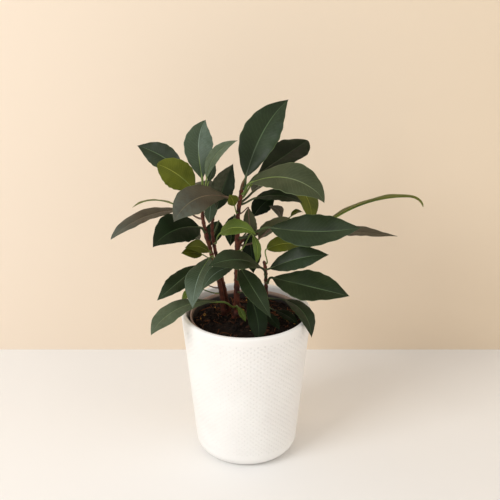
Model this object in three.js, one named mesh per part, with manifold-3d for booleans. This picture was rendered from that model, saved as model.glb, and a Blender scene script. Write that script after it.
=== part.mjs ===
// A young rubber plant in a thin nursery pot, standing inside a white ceramic cachepot.
// Millimetres, +Z up, the origin under the middle of the cachepot, -Y is the front.
import * as THREE from 'three';
import * as BufferGeometryUtils from 'three/addons/utils/BufferGeometryUtils.js';
import Module from 'manifold-3d';

const wasm = await Module();
wasm.setup();

const GAP = 0.3;
const MERGE_DISTANCE = 1e-4;
const SEGMENTS = 48;

// Cachepot: a straight taper with a rounded foot and a soft lip.
const CACHEPOT_HEIGHT = 162;
const CACHEPOT_RIM_RADIUS = 67.5;
const CACHEPOT_FOOT_RADIUS = 52.4;
const CACHEPOT_WALL = 5;
const CACHEPOT_FLOOR = 7;
const FOOT_ROUND = 14;
const FOOT_ANGLES = [0, 30, 60, 90];

// Nursery pot: it stands on the cachepot's floor, a little off centre.
const NURSERY_RIM_RADIUS = 59.6;
const NURSERY_FOOT_RADIUS = 42;
const NURSERY_RIM_HEIGHT = 157;
const NURSERY_WALL = 1.4;
const NURSERY_FLOOR = 2;
const NURSERY_X = 1.4;
const NURSERY_Y = -1.4;
const RIM_BAND = 2;
const RIM_BAND_DEPTH = 9;
const RIM_ROUND = 1;
const DRAIN_HOLES = 4;
const DRAIN_RADIUS = 5;
const DRAIN_CIRCLE = 24;
const DRAIN_SIDES = 16;

// Soil: it fills the nursery pot to a low mound around the stems.
const SOIL_EDGE_HEIGHT = 149;
const SOIL_CROWN_HEIGHT = 151;
const SOIL_RINGS = 5;
const WAVE_HEIGHT = 1.1;
const WAVE_ACROSS = 0.21;
const WAVE_BACK = 0.17;
const RIPPLE_HEIGHT = 0.55;
const RIPPLE_ACROSS = 0.4;
const RIPPLE_BACK = 0.33;

// Stems and leaves.
const STEM_SIDES = 9;
const STEM_STEPS = 12;
const STEM_SOCKET = 0.35;
const HALVINGS = 24;
const PETIOLE_RADIUS = 1.3;
const PETIOLE_GAP = 3 * GAP;
const PETIOLE_RINGS = 3;
const BLADE_RINGS = 8;
const STEPS_PER_RING = 6;
const BEND_LATE = 1.3;
const HOOK_START = 0.85;
const BLADE_THICKNESS = 0.9;
const TIP_THICKNESS = 0.5;
const OUTLINE_POWER = 0.68;
const LEAF_SIDES = 8;

// Colours and roughness.
const GLAZE = 0xf4efe8;
const GLAZE_ROUGHNESS = 0.55;
const POT_PLASTIC = 0x8a7465;
const PLASTIC_ROUGHNESS = 0.6;
const SOIL = 0x2a1a10;
const SOIL_ROUGHNESS = 1;
const BARK = 0x5c2a1a;
const BARK_ROUGHNESS = 0.8;
const LEAF_ROUGHNESS = 0.35;

// Each stem is a list of points on its centre line, from inside the soil to its growing tip.
const STEMS = {
  centre: {
    radius: 4,
    top: 1.9,
    line: [[-10, 5, 95], [-10, 5, 150], [-9, 4, 230], [-8, 3, 265], [-4, 2, 295]],
  },
  left: {
    radius: 3,
    top: 1.6,
    line: [[-20, 15, 95], [-25, 10, 170], [-35, 5, 220], [-43, 0, 262], [-43, 0, 298]],
  },
  inner: {
    radius: 2.8,
    top: 1.5,
    line: [[-15, 20, 95], [-20, 16, 160], [-32, 10, 225], [-34, 8, 255], [-28, 4, 275]],
  },
  right: {
    radius: 3,
    top: 1.7,
    line: [[15, 12, 95], [20, 8, 160], [20, 4, 200], [18, 3, 215]],
  },
  branch: {
    radius: 1.8,
    top: 1.3,
    line: [[-8, 9, 226], [-4, 19, 230], [15, 27, 238], [40, 28, 247]],
  },
};

const TONES = {
  deep: 0x1d2c17,
  blue: 0x3b4f45,
  grey: 0x4d5840,
  olive: 0x59651d,
  lime: 0x5f8233,
  brown: 0x57503f,
  dark: 0x14190f,
  dry: 0x8a4f22,
};

// The leaves of each stem. A row has the leaf's name and its height on the stem, then:
// the petiole's bearing, rise and length; the blade's bearing, rise and length where it starts;
// how far the blade swings sideways, droops, and hooks at its tip; its width and where it is widest;
// the way its upper side faces; how far each half folds up; and its tone.
// Bearings run from 0 at the right to 90 at the back and -90 at the front, and every angle is in degrees.
const LEAVES = {
  centre: [
    ['crown_tall', 294, [-15, 70, 12], [50, 65, 90], [-15, 35, 0], 39, 0.5, [-3, -10, 4], 14, 'deep'],
    ['crown_back', 292, [30, 35, 20], [45, 15, 78], [0, 0, 0], 36, 0.64, [-5, -9, 9], 8, 'dark'],
    ['crown_right', 288, [-35, 50, 16], [-30, 30, 90], [0, 75, 20], 36, 0.55, [0, -6, 8], 6, 'grey'],
    ['crown_under', 276, [20, 15, 18], [0, 15, 48], [-15, 45, 0], 26, 0.5, [0, -1, 6], 6, 'dark'],
    ['right_hanging', 282, [45, 30, 28], [30, 5, 92], [-90, 110, 0], 24, 0.6, [3, -8, 7], 8, 'olive'],
    ['left_brown', 282, [-125, 20, 20], [-145, 25, 75], [20, 70, 0], 30, 0.6, [2, -7, 8], 6, 'brown'],
    ['back_dark', 246, [55, 15, 30], [40, 50, 32], [-10, 50, 0], 22, 0.5, [-2, -6, 5], 8, 'dark'],
    ['hang_brown', 266, [0, 30, 12], [0, -90, 35], [0, -25, 0], 14, 0.5, [2, 9, 1], 12, 'brown'],
    ['hang_black', 236, [45, 15, 18], [0, -85, 46], [0, 0, 0], 20, 0.5, [1, -10, 0], 8, 'dark'],
    ['young_hanging', 226, [-40, 45, 30], [-20, -60, 30], [-150, 20, 0], 9, 0.4, [-4, -9, 1], 14, 'lime'],
    ['small_olive', 268, [-100, 35, 24], [-115, 65, 17], [-15, 20, 0], 12, 0.5, [1, -9, 4], 10, 'olive'],
    ['right_big', 240, [-25, 25, 40], [-35, 5, 100], [10, -15, 0], 37, 0.5, [0, -7, 8], 8, 'deep'],
    ['right_under', 231, [10, 15, 23], [5, 50, 43], [10, 60, 0], 24, 0.45, [-2, 6, 4], 8, 'brown'],
    ['back_b', 250, [100, 20, 20], [105, -65, 40], [30, 20, 0], 18, 0.5, [1, 9, 3], 8, 'dark'],
    ['front_left_low', 213, [-95, 15, 38], [-130, 20, 50], [0, 70, 0], 14, 0.5, [2, -9, 6], 8, 'blue'],
    ['front_mid', 194, [-80, 40, 35], [-65, -20, 63], [20, 25, 0], 22, 0.42, [3, -9, 5], 6, 'deep'],
    ['front_dip', 180, [-65, 15, 31], [-60, -35, 52], [-35, 30, 0], 20, 0.5, [2, -9, 5], 6, 'dark'],
    ['rim_left', 163, [-125, 30, 28], [-160, 15, 88], [25, 60, 10], 25, 0.68, [-1, -3, 9], 5, 'grey'],
    ['soil_young', 160, [-85, 30, 20], [-45, -40, 17], [0, 20, 0], 7, 0.5, [2, -8, 5], 14, 'lime'],
    ['rear_right', 278, [50, 15, 21], [60, 15, 78], [5, 60, 0], 32, 0.5, [-1, 2, 9], 8, 'deep'],
    ['rear_low', 212, [85, 25, 30], [45, 5, 98], [-25, 30, 0], 30, 0.5, [-1, 3, 9], 8, 'deep'],
  ],
  left: [
    ['left_upright', 296, [90, 75, 7], [120, 70, 62], [-70, 30, 0], 29, 0.55, [0, -10, 3], 8, 'blue'],
    ['left_olive', 290, [152, 8, 10], [-165, 52, 46], [-5, 30, 0], 30, 0.5, [-3, -9, 5], 6, 'olive'],
    ['left_back', 286, [130, 30, 34], [135, 20, 66], [15, 15, 0], 26, 0.5, [-3, -9, 6], 8, 'deep'],
    ['crown_light', 294, [-50, 60, 14], [-20, 80, 53], [25, 65, 0], 13, 0.5, [-4, -9, 4], 14, 'grey'],
    ['narrow_dark', 291, [10, 55, 11], [-50, 65, 23], [50, -10, 0], 8, 0.5, [3, -9, 1], 10, 'blue'],
    ['hang_blue', 281, [-45, 20, 14], [-100, -65, 24], [-25, 20, 0], 12, 0.5, [2, -9, 2], 8, 'blue'],
    ['left_thin', 270, [125, -10, 48], [140, 5, 67], [10, 45, 0], 11, 0.5, [0, 4, 9], 4, 'olive'],
    ['left_long', 262, [180, 25, 23], [-155, 5, 82], [20, 35, 0], 22, 0.5, [-1, -2, 9], 8, 'brown'],
    ['left_green', 248, [-107, 32, 19], [-140, 20, 61], [5, 57, 0], 38, 0.45, [-1, -7, 8], 6, 'dark'],
    ['low_olive_a', 227, [-90, 15, 20], [-140, 45, 31], [-15, 55, 0], 14, 0.5, [1, -7, 8], 8, 'olive'],
    ['low_olive_b', 219, [-120, 25, 20], [-140, 30, 26], [-10, 30, 0], 13, 0.5, [1, -8, 7], 8, 'olive'],
    ['left_droop', 210, [-95, 35, 33], [-115, -10, 64], [20, 45, 0], 26, 0.5, [-5, -9, 5], 8, 'blue'],
    ['left_low', 198, [-140, 35, 29], [-135, -20, 58], [-5, 5, 0], 21, 0.5, [-3, -8, 7], 8, 'deep'],
    ['bright_bit', 176, [-160, 15, 33], [-125, -15, 17], [-20, 30, 0], 9, 0.4, [-2, -6, 5], 8, 'lime'],
    ['dry_bit', 182, [-175, 15, 26], [-165, -5, 15], [10, 20, 0], 8, 0.5, [-2, -6, 5], 8, 'dry'],
    ['rear_left_low', 226, [125, 10, 22], [120, 0, 64], [20, 45, 0], 28, 0.5, [-1, 3, 9], 8, 'deep'],
  ],
  inner: [
    ['black_upright', 266, [-70, 40, 8], [10, 75, 51], [-25, 10, 0], 24, 0.5, [-2, -9, 1], 18, 'dark'],
    ['young_bright', 232, [-70, 40, 30], [-25, 40, 41], [10, 80, 0], 19, 0.38, [0, -6, 8], 10, 'lime'],
    ['back_a', 240, [70, 30, 19], [120, -55, 37], [45, 25, 0], 20, 0.5, [0, 9, 3], 8, 'dark'],
    ['rear_left', 268, [105, 20, 16], [115, 20, 69], [0, 60, 0], 30, 0.5, [-1, 2, 9], 8, 'deep'],
  ],
  branch: [
    ['right_arching', 244, [25, -20, 46], [35, 25, 138], [-40, 35, 60], 26, 0.6, [0, 4, 9], 12, 'olive'],
    ['right_far', 245, [-20, 0, 49], [5, -5, 75], [0, 5, 0], 23, 0.4, [0, -1, 9], 8, 'brown'],
    ['curl_brown', 242, [-35, 35, 12], [-60, 75, 30], [-150, 60, 0], 12, 0.5, [2, -5, 4], 14, 'brown'],
    ['sliver', 247, [-10, 50, 9], [15, 50, 15], [15, 90, 0], 8, 0.5, [0, -1, 5], 12, 'olive'],
  ],
  right: [
    ['olive_back', 211, [-45, 80, 18], [15, 20, 42], [0, 55, 0], 17, 0.4, [0, -8, 6], 8, 'olive'],
    ['right_mid', 206, [-60, 20, 9], [-15, 30, 64], [5, 25, 0], 25, 0.5, [-2, -7, 8], 6, 'deep'],
    ['front_left_up', 198, [-98, 35, 38], [-135, 40, 69], [-20, 55, 0], 27, 0.56, [0, -5, 9], 6, 'deep'],
    ['right_low', 190, [-70, 35, 22], [-40, 5, 90], [10, 5, 0], 37, 0.52, [0, -6, 9], 6, 'deep'],
    ['rim_right', 172, [-40, 10, 24], [-35, 0, 54], [-40, 75, 0], 20, 0.5, [5, -6, 7], 8, 'deep'],
    ['pot_dark_a', 158, [-90, 15, 23], [-55, -10, 27], [-5, 15, 0], 10, 0.5, [-2, -4, 9], 8, 'dark'],
    ['pot_dark_b', 163, [-55, 0, 17], [-30, -5, 30], [-20, 20, 0], 12, 0.5, [2, -5, 9], 8, 'dark'],
  ],
};

function vec([x, y, z]) {
  return new THREE.Vector3(x, y, z);
}

// A solid of revolution about Z from (radius, height) pairs that run from axis to axis.
function revolve(profile, segments = SEGMENTS) {
  const points = profile.map(([radius, height]) => new THREE.Vector2(radius, height));
  return new THREE.LatheGeometry(points, segments).rotateX(Math.PI / 2);
}

function closed(geometry) {
  const bare = geometry.clone();
  bare.deleteAttribute('normal');
  bare.deleteAttribute('uv');
  return BufferGeometryUtils.mergeVertices(bare, MERGE_DISTANCE);
}

function toSolid(geometry) {
  const merged = closed(geometry);
  return new wasm.Manifold(new wasm.Mesh({
    numProp: 3,
    vertProperties: new Float32Array(merged.attributes.position.array),
    triVerts: new Uint32Array(merged.index.array),
  }));
}

function fromSolid(solid) {
  const mesh = solid.getMesh();
  const geometry = new THREE.BufferGeometry();
  geometry.setAttribute('position', new THREE.BufferAttribute(mesh.vertProperties, 3));
  geometry.setIndex(new THREE.BufferAttribute(mesh.triVerts, 1));
  geometry.computeVertexNormals();
  return geometry;
}

function finish(name, geometry, color, roughness) {
  const material = new THREE.MeshStandardMaterial({ color, roughness, metalness: 0 });
  const mesh = new THREE.Mesh(geometry, material);
  mesh.name = name;
  return mesh;
}

// Radius of a straight taper at a height.
function taper(height, bottom, top, bottomRadius, topRadius) {
  return bottomRadius + (topRadius - bottomRadius) * (height - bottom) / (top - bottom);
}

function cachepotRadius(height) {
  return taper(height, 0, CACHEPOT_HEIGHT, CACHEPOT_FOOT_RADIUS, CACHEPOT_RIM_RADIUS);
}

function nurseryRadius(height) {
  const foot = CACHEPOT_FLOOR + GAP;
  return taper(height, foot, NURSERY_RIM_HEIGHT, NURSERY_FOOT_RADIUS, NURSERY_RIM_RADIUS);
}

function buildCachepot() {
  const lip = CACHEPOT_WALL / 2;
  const corner = lip * (1 - Math.SQRT1_2);
  const foot = FOOT_ANGLES.map((degrees) => {
    const angle = THREE.MathUtils.degToRad(degrees);
    const inset = FOOT_ROUND * (1 - Math.sin(angle));
    const height = FOOT_ROUND * (1 - Math.cos(angle));
    return [cachepotRadius(height) - inset, height];
  });
  const profile = [
    [0, 0],
    ...foot,
    [cachepotRadius(CACHEPOT_HEIGHT - lip), CACHEPOT_HEIGHT - lip],
    [CACHEPOT_RIM_RADIUS - corner, CACHEPOT_HEIGHT - corner],
    [CACHEPOT_RIM_RADIUS - lip, CACHEPOT_HEIGHT],
    [CACHEPOT_RIM_RADIUS - CACHEPOT_WALL + corner, CACHEPOT_HEIGHT - corner],
    [cachepotRadius(CACHEPOT_HEIGHT - lip) - CACHEPOT_WALL, CACHEPOT_HEIGHT - lip],
    [cachepotRadius(CACHEPOT_FLOOR) - CACHEPOT_WALL, CACHEPOT_FLOOR],
    [0, CACHEPOT_FLOOR],
  ];
  return finish('cachepot', revolve(profile), GLAZE, GLAZE_ROUGHNESS);
}

function buildNurseryPot() {
  const foot = CACHEPOT_FLOOR + GAP;
  const band = NURSERY_RIM_HEIGHT - RIM_BAND_DEPTH;
  const profile = [
    [0, foot],
    [NURSERY_FOOT_RADIUS, foot],
    [nurseryRadius(band) - RIM_BAND, band],
    [nurseryRadius(band), band],
    [NURSERY_RIM_RADIUS, NURSERY_RIM_HEIGHT - RIM_ROUND],
    [NURSERY_RIM_RADIUS - RIM_ROUND, NURSERY_RIM_HEIGHT],
    [NURSERY_RIM_RADIUS - 2 * RIM_ROUND, NURSERY_RIM_HEIGHT - RIM_ROUND],
    [innerNurseryRadius(band), band],
    [innerNurseryRadius(foot + NURSERY_FLOOR), foot + NURSERY_FLOOR],
    [0, foot + NURSERY_FLOOR],
  ];
  let pot = toSolid(revolve(profile));
  for (let i = 0; i < DRAIN_HOLES; i += 1) {
    const angle = (i + 0.5) * 2 * Math.PI / DRAIN_HOLES;
    const drill = new THREE.CylinderGeometry(DRAIN_RADIUS, DRAIN_RADIUS, 4 * NURSERY_FLOOR, DRAIN_SIDES);
    drill.rotateX(Math.PI / 2);
    drill.translate(DRAIN_CIRCLE * Math.cos(angle), DRAIN_CIRCLE * Math.sin(angle), foot + NURSERY_FLOOR / 2);
    pot = pot.subtract(toSolid(drill));
  }
  const geometry = fromSolid(pot).translate(NURSERY_X, NURSERY_Y, 0);
  return finish('nursery_pot', geometry, POT_PLASTIC, PLASTIC_ROUGHNESS);
}

function innerNurseryRadius(height) {
  return nurseryRadius(height) - RIM_BAND - NURSERY_WALL;
}

// Low waves that make the top of the soil uneven.
function soilWave(x, y) {
  const wave = WAVE_HEIGHT * Math.sin(x * WAVE_ACROSS + 1) * Math.cos(y * WAVE_BACK);
  return wave + RIPPLE_HEIGHT * Math.sin(x * RIPPLE_ACROSS - y * RIPPLE_BACK);
}

function buildSoil() {
  const bottom = CACHEPOT_FLOOR + GAP + NURSERY_FLOOR + GAP;
  const rise = SOIL_CROWN_HEIGHT - SOIL_EDGE_HEIGHT;
  const edge = innerNurseryRadius(SOIL_EDGE_HEIGHT) - GAP;
  const top = [];
  for (let ring = SOIL_RINGS; ring >= 0; ring -= 1) {
    const share = ring / SOIL_RINGS;
    top.push([edge * share, SOIL_EDGE_HEIGHT + rise * (1 - share * share)]);
  }
  const geometry = revolve([[0, bottom], [innerNurseryRadius(bottom) - GAP, bottom], ...top]);
  const spots = geometry.attributes.position;
  for (let i = 0; i < spots.count; i += 1) {
    const radius = Math.hypot(spots.getX(i), spots.getY(i));
    const isTop = spots.getZ(i) > SOIL_EDGE_HEIGHT + GAP / 10;
    if (isTop && radius > 0) {
      spots.setZ(i, spots.getZ(i) + soilWave(spots.getX(i), spots.getY(i)));
    }
  }
  geometry.translate(NURSERY_X, NURSERY_Y, 0);
  let soil = toSolid(geometry);
  for (const stem of Object.values(STEMS)) {
    soil = soil.subtract(toSolid(stemGeometry(stem, STEM_SOCKET)));
  }
  return finish('potting_soil', fromSolid(soil), SOIL, SOIL_ROUGHNESS);
}

// A smooth curve through hand-placed points.
function smoothCurve(points) {
  return new THREE.CatmullRomCurve3(points.map(vec), false, 'catmullrom', 0.5);
}

// A round bar that follows the stem's line and thins towards the tip.
function stemGeometry(stem, extra = 0) {
  const section = new THREE.Shape();
  section.absarc(0, 0, 1, 0, 2 * Math.PI);
  const curve = smoothCurve(stem.line);
  const geometry = new THREE.ExtrudeGeometry(section, {
    steps: STEM_STEPS,
    curveSegments: STEM_SIDES,
    bevelEnabled: false,
    extrudePath: curve,
  });
  const spots = geometry.attributes.position;
  const spot = new THREE.Vector3();
  const rings = curve.getSpacedPoints(STEM_STEPS);
  for (let i = 0; i < spots.count; i += 1) {
    spot.fromBufferAttribute(spots, i);
    let ring = 0;
    rings.forEach((centre, j) => {
      if (centre.distanceTo(spot) < rings[ring].distanceTo(spot)) {
        ring = j;
      }
    });
    const radius = stem.radius + (stem.top - stem.radius) * ring / STEM_STEPS + extra;
    spot.sub(rings[ring]).multiplyScalar(radius).add(rings[ring]);
    spots.setXYZ(i, spot.x, spot.y, spot.z);
  }
  return geometry;
}

// The centre, direction and radius of a stem where it passes a height.
function stemAt(stem, height) {
  const curve = smoothCurve(stem.line);
  let low = 0;
  let high = 1;
  for (let i = 0; i < HALVINGS; i += 1) {
    const middle = (low + high) / 2;
    if (curve.getPointAt(middle).z < height) {
      low = middle;
    } else {
      high = middle;
    }
  }
  return {
    centre: curve.getPointAt(low),
    along: curve.getTangentAt(low),
    radius: stem.radius + (stem.top - stem.radius) * low,
  };
}

// Half the blade's width along its length, as a share of half its greatest width.
function outline(along, widest) {
  const skewed = Math.pow(along, Math.log(0.5) / Math.log(widest));
  return Math.pow(Math.sin(Math.PI * Math.min(skewed, 1)), OUTLINE_POWER);
}

// The direction of a bearing and a rise above level, both in degrees.
function heading(bearing, rise) {
  const turn = THREE.MathUtils.degToRad(bearing);
  const lift = THREE.MathUtils.degToRad(rise);
  return new THREE.Vector3(Math.cos(turn) * Math.cos(lift), Math.sin(turn) * Math.cos(lift), Math.sin(lift));
}

// Which way the blade runs at a share of its length: it bends more towards the tip.
function bladeHeading([bearing, rise], [swing, droop, hook], share) {
  const bend = Math.pow(share, BEND_LATE);
  const tip = Math.max(0, (share - HOOK_START) / (1 - HOOK_START));
  return heading(bearing + swing * bend, rise - droop * bend - hook * tip);
}

// The petiole leaves the stem squarely and runs into the midrib.
function buildPetiole(stem, height, [bearing, rise, length], arrival) {
  const { centre, along, radius } = stemAt(stem, height);
  const base = centre.clone().addScaledVector(heading(bearing, rise), length);
  const outward = base.clone().sub(centre);
  outward.addScaledVector(along, -outward.dot(along)).normalize();
  const start = centre.clone().addScaledVector(outward, radius + PETIOLE_GAP);
  const reach = start.distanceTo(base) / 3;
  const leaving = start.clone().addScaledVector(outward, reach);
  const arriving = base.clone().addScaledVector(arrival, -reach);
  return new THREE.CubicBezierCurve3(start, leaving, arriving, base);
}

// Rings along the leaf, each with its centre, direction, half width and thickness.
function leafRings(petiole, blade, bend, width, widest) {
  const rings = [];
  for (let i = 0; i < PETIOLE_RINGS; i += 1) {
    const share = i / PETIOLE_RINGS;
    rings.push({
      centre: petiole.getPoint(share),
      along: petiole.getTangent(share),
      half: PETIOLE_RADIUS,
      thick: PETIOLE_RADIUS,
      blade: 0,
    });
  }
  const centre = petiole.getPoint(1);
  const step = blade[2] / (BLADE_RINGS * STEPS_PER_RING);
  for (let i = 0; i <= BLADE_RINGS; i += 1) {
    const share = i / BLADE_RINGS;
    const isBase = i === 0;
    rings.push({
      centre: centre.clone(),
      along: bladeHeading(blade, bend, share),
      half: Math.max(outline(share, widest) * width / 2, isBase ? PETIOLE_RADIUS : TIP_THICKNESS),
      thick: isBase ? PETIOLE_RADIUS : THREE.MathUtils.lerp(BLADE_THICKNESS, TIP_THICKNESS, share) / 2,
      blade: isBase ? 0 : 1,
    });
    for (let j = 0.5; j < STEPS_PER_RING; j += 1) {
      centre.addScaledVector(bladeHeading(blade, bend, share + j / (BLADE_RINGS * STEPS_PER_RING)), step);
    }
  }
  return rings;
}

// The part of a direction that is square to another, one unit long.
function squareTo(direction, along) {
  return direction.clone().addScaledVector(along, -direction.dot(along)).normalize();
}

// Carries the facing direction from the middle of the blade to every ring without twisting it.
function faceRings(rings, face) {
  const middle = rings.length - 1 - BLADE_RINGS / 2;
  rings[middle].up = squareTo(face, rings[middle].along);
  for (let i = middle + 1; i < rings.length; i += 1) {
    rings[i].up = squareTo(rings[i - 1].up, rings[i].along);
  }
  for (let i = middle - 1; i >= 0; i -= 1) {
    rings[i].up = squareTo(rings[i + 1].up, rings[i].along);
  }
}

// A leaf with its petiole as one closed body: a capped drum whose rings take the leaf's sections.
function buildLeaf(stem, [name, height, stalk, blade, bend, width, widest, face, fold, tone]) {
  const petiole = buildPetiole(stem, height, stalk, bladeHeading(blade, bend, 0));
  const rings = leafRings(petiole, blade, bend, width, widest);
  faceRings(rings, vec(face));
  const last = rings.length - 1;
  const geometry = new THREE.CylinderGeometry(1, 1, 1, LEAF_SIDES, last);
  const spots = geometry.attributes.position;
  const spot = new THREE.Vector3();
  for (let i = 0; i < spots.count; i += 1) {
    const ring = rings[Math.round((0.5 + spots.getY(i)) * last)];
    const sideways = new THREE.Vector3().crossVectors(ring.along, ring.up);
    const across = spots.getX(i);
    const lift = ring.blade * THREE.MathUtils.degToRad(fold);
    spot.copy(ring.centre);
    spot.addScaledVector(sideways, across * ring.half * Math.cos(lift));
    spot.addScaledVector(ring.up, Math.abs(across) * ring.half * Math.sin(lift) + spots.getZ(i) * ring.thick);
    spots.setXYZ(i, spot.x, spot.y, spot.z);
  }
  return finish(`leaf_${name}`, geometry, TONES[tone], LEAF_ROUGHNESS);
}

const group = new THREE.Group();
group.add(buildCachepot(), buildNurseryPot(), buildSoil());
for (const [name, stem] of Object.entries(STEMS)) {
  group.add(finish(`stem_${name}`, stemGeometry(stem), BARK, BARK_ROUGHNESS));
}
for (const [stem, leaves] of Object.entries(LEAVES)) {
  leaves.forEach((leaf) => group.add(buildLeaf(STEMS[stem], leaf)));
}

export default group;
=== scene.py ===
"""A young rubber plant in a thin nursery pot, standing inside a dimpled white ceramic cachepot.

Metres, +Z up, the origin under the middle of the cachepot, -Y is the front. Growth values of stems and
leaves are in millimetres and degrees, as in the part's own source, and are turned into metres once.
"""

import logging
import math
import random
from collections.abc import Callable
from dataclasses import dataclass, field
from enum import Enum

import bmesh
import bpy
from mathutils import Euler, Matrix, Vector, noise


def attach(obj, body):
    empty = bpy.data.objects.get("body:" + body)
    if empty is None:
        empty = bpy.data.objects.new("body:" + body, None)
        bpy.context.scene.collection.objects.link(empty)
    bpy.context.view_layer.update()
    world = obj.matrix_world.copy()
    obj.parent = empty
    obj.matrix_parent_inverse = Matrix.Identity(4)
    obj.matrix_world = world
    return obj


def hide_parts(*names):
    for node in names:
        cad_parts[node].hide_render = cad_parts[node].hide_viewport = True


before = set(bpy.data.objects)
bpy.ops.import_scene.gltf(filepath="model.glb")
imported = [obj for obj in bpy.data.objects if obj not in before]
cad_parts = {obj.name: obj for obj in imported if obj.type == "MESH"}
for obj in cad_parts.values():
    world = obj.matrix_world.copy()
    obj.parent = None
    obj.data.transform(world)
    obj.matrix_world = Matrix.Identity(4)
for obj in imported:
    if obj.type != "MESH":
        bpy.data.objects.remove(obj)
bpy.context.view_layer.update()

LOG = logging.getLogger("rubber_plant")
MM = 0.001
SPIN_WELD = 1e-6
TUBE_WELD = 2e-6
NEARLY_ALL = 0.9999
LEAST_SINE = 1e-6
BODY = "root"
SEED = 20
CHART = "chart"
SHADER = "Principled BSDF"
BLOTCH_SPAN = (0.35, 0.65)
FINE_SPAN = (0.3, 0.7)
FINE_RATIO = 6.0


class Slot(Enum):
    """The record's material slots."""

    GLAZE = "cachepot_glaze"
    PLASTIC = "nursery_plastic"
    SOIL = "soil"
    BARK = "bark"
    LEAF_DEEP = "leaf_deep"
    LEAF_BLUE = "leaf_blue"
    LEAF_GREY = "leaf_grey"
    LEAF_OLIVE = "leaf_olive"
    LEAF_LIME = "leaf_lime"
    # leaf_brown: partly the blades' own brown-grey, partly a painted warm reflection.
    LEAF_BROWN = "leaf_brown"
    # leaf_dark: painted shade, a darker copy of the leaf green for blades in shadow.
    LEAF_DARK = "leaf_dark"
    LEAF_DRY = "leaf_dry"


def paint(code: int) -> tuple[float, float, float, float]:
    """Turns a screen colour into scene-linear red, green, blue and alpha.

    Args:
        code: The colour as 0xRRGGBB.

    Returns:
        Four linear values from 0 to 1.
    """
    shares = [((code >> shift) & 255) / 255 for shift in (16, 8, 0)]
    linear = [c / 12.92 if c <= 0.04045 else ((c + 0.055) / 1.055) ** 2.4 for c in shares]
    return (*linear, 1.0)


# ---------------------------------------------------------------------------------------- node graphs


class Graph:
    """Adds nodes to one node tree and links them."""

    def __init__(self, tree: bpy.types.NodeTree) -> None:
        """Keeps the tree."""
        self.tree = tree

    def add(self, kind: str, inputs: dict | None = None, **settings: object) -> bpy.types.Node:
        """Adds one node.

        Args:
            kind: The node's type, without its ShaderNode prefix where it has one.
            inputs: What goes into each input: a value, or a socket to link.
            settings: The node's own properties.

        Returns:
            The new node.
        """
        name = kind if kind.startswith("Node") else f"ShaderNode{kind}"
        node = self.tree.nodes.new(name)
        for key, value in settings.items():
            setattr(node, key, value)
        self.fill(node, inputs or {})
        return node

    def fill(self, node: bpy.types.Node, inputs: dict) -> None:
        """Links or sets each of a node's inputs.

        Args:
            node: The node.
            inputs: What goes into each input: a value, or a socket to link.
        """
        for key, value in inputs.items():
            if isinstance(value, bpy.types.NodeSocket):
                self.tree.links.new(value, node.inputs[key])
            else:
                node.inputs[key].default_value = value

    def math(self, operation: str, *values: object) -> bpy.types.NodeSocket:
        """Adds a Math node and gives its output."""
        return self.add("Math", dict(enumerate(values)), operation=operation).outputs[0]

    def mix(self, share: object, low: object, high: object) -> bpy.types.NodeSocket:
        """Mixes two colours by a share and gives the result."""
        return self.add("Mix", {0: share, 6: low, 7: high}, data_type="RGBA").outputs[2]

    def spread(self, value: object, *span: float) -> bpy.types.NodeSocket:
        """Maps a value from span[0]..span[1] to span[2]..span[3], held inside them."""
        return self.add("MapRange", dict(enumerate((value, *span)))).outputs[0]

    def noise(self, vector: object, scale: object, detail: float = 3.0) -> bpy.types.NodeSocket:
        """Adds a noise texture and gives its value."""
        return self.add("TexNoise", {"Vector": vector, "Scale": scale, "Detail": detail}).outputs[0]

    def group(self, tree: bpy.types.NodeTree, inputs: dict) -> bpy.types.Node:
        """Places a node group with its own values."""
        return self.add("Group", inputs, node_tree=tree)


def new_group(
    name: str, inputs: dict[str, str], outputs: list[str]
) -> tuple[Graph, bpy.types.NodeOutputs, bpy.types.Node]:
    """Starts a node group.

    Args:
        name: The group's name.
        inputs: Each input's name and socket type.
        outputs: Each output's name. They are all plain values.

    Returns:
        The group's graph, the sockets that bring its inputs, and the node that takes its outputs.
    """
    tree = bpy.data.node_groups.new(name, "ShaderNodeTree")
    for key, kind in inputs.items():
        tree.interface.new_socket(name=key, in_out="INPUT", socket_type=f"NodeSocket{kind}")
    for key in outputs:
        tree.interface.new_socket(name=key, in_out="OUTPUT", socket_type="NodeSocketFloat")
    graph = Graph(tree)
    return graph, graph.add("NodeGroupInput").outputs, graph.add("NodeGroupOutput")


def build_mottle_group() -> bpy.types.NodeTree:
    """Two sizes of soft blotches, used for colour variation and for roughness.

    Returns:
        The node group, with a Mask and a Fine output.
    """
    inputs = {"Vector": "Vector", "Scale": "Float"}
    graph, given, out = new_group("mottle", inputs, ["Mask", "Fine"])
    broad = graph.noise(given["Vector"], given["Scale"])
    finer = graph.math("MULTIPLY", given["Scale"], FINE_RATIO)
    fine = graph.noise(given["Vector"], finer, 4.0)
    graph.fill(out, {"Mask": graph.spread(broad, *BLOTCH_SPAN, 0.0, 1.0), "Fine": fine})
    return graph.tree


@dataclass(frozen=True)
class BladePattern:
    """How a blade's veins lie, in shares of its half width, of its length or of a vein's pitch."""

    tip_taper: float = 0.45
    midrib: tuple[float, float] = (0.018, 0.05)
    midrib_depth: float = 0.6
    wander: float = 0.06
    wander_scale: float = 9.0
    vein: float = 0.16
    vein_fade: tuple[float, float] = (0.75, 0.95)
    vein_depth: float = 0.35
    margin: tuple[float, float] = (0.955, 0.985)


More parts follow.
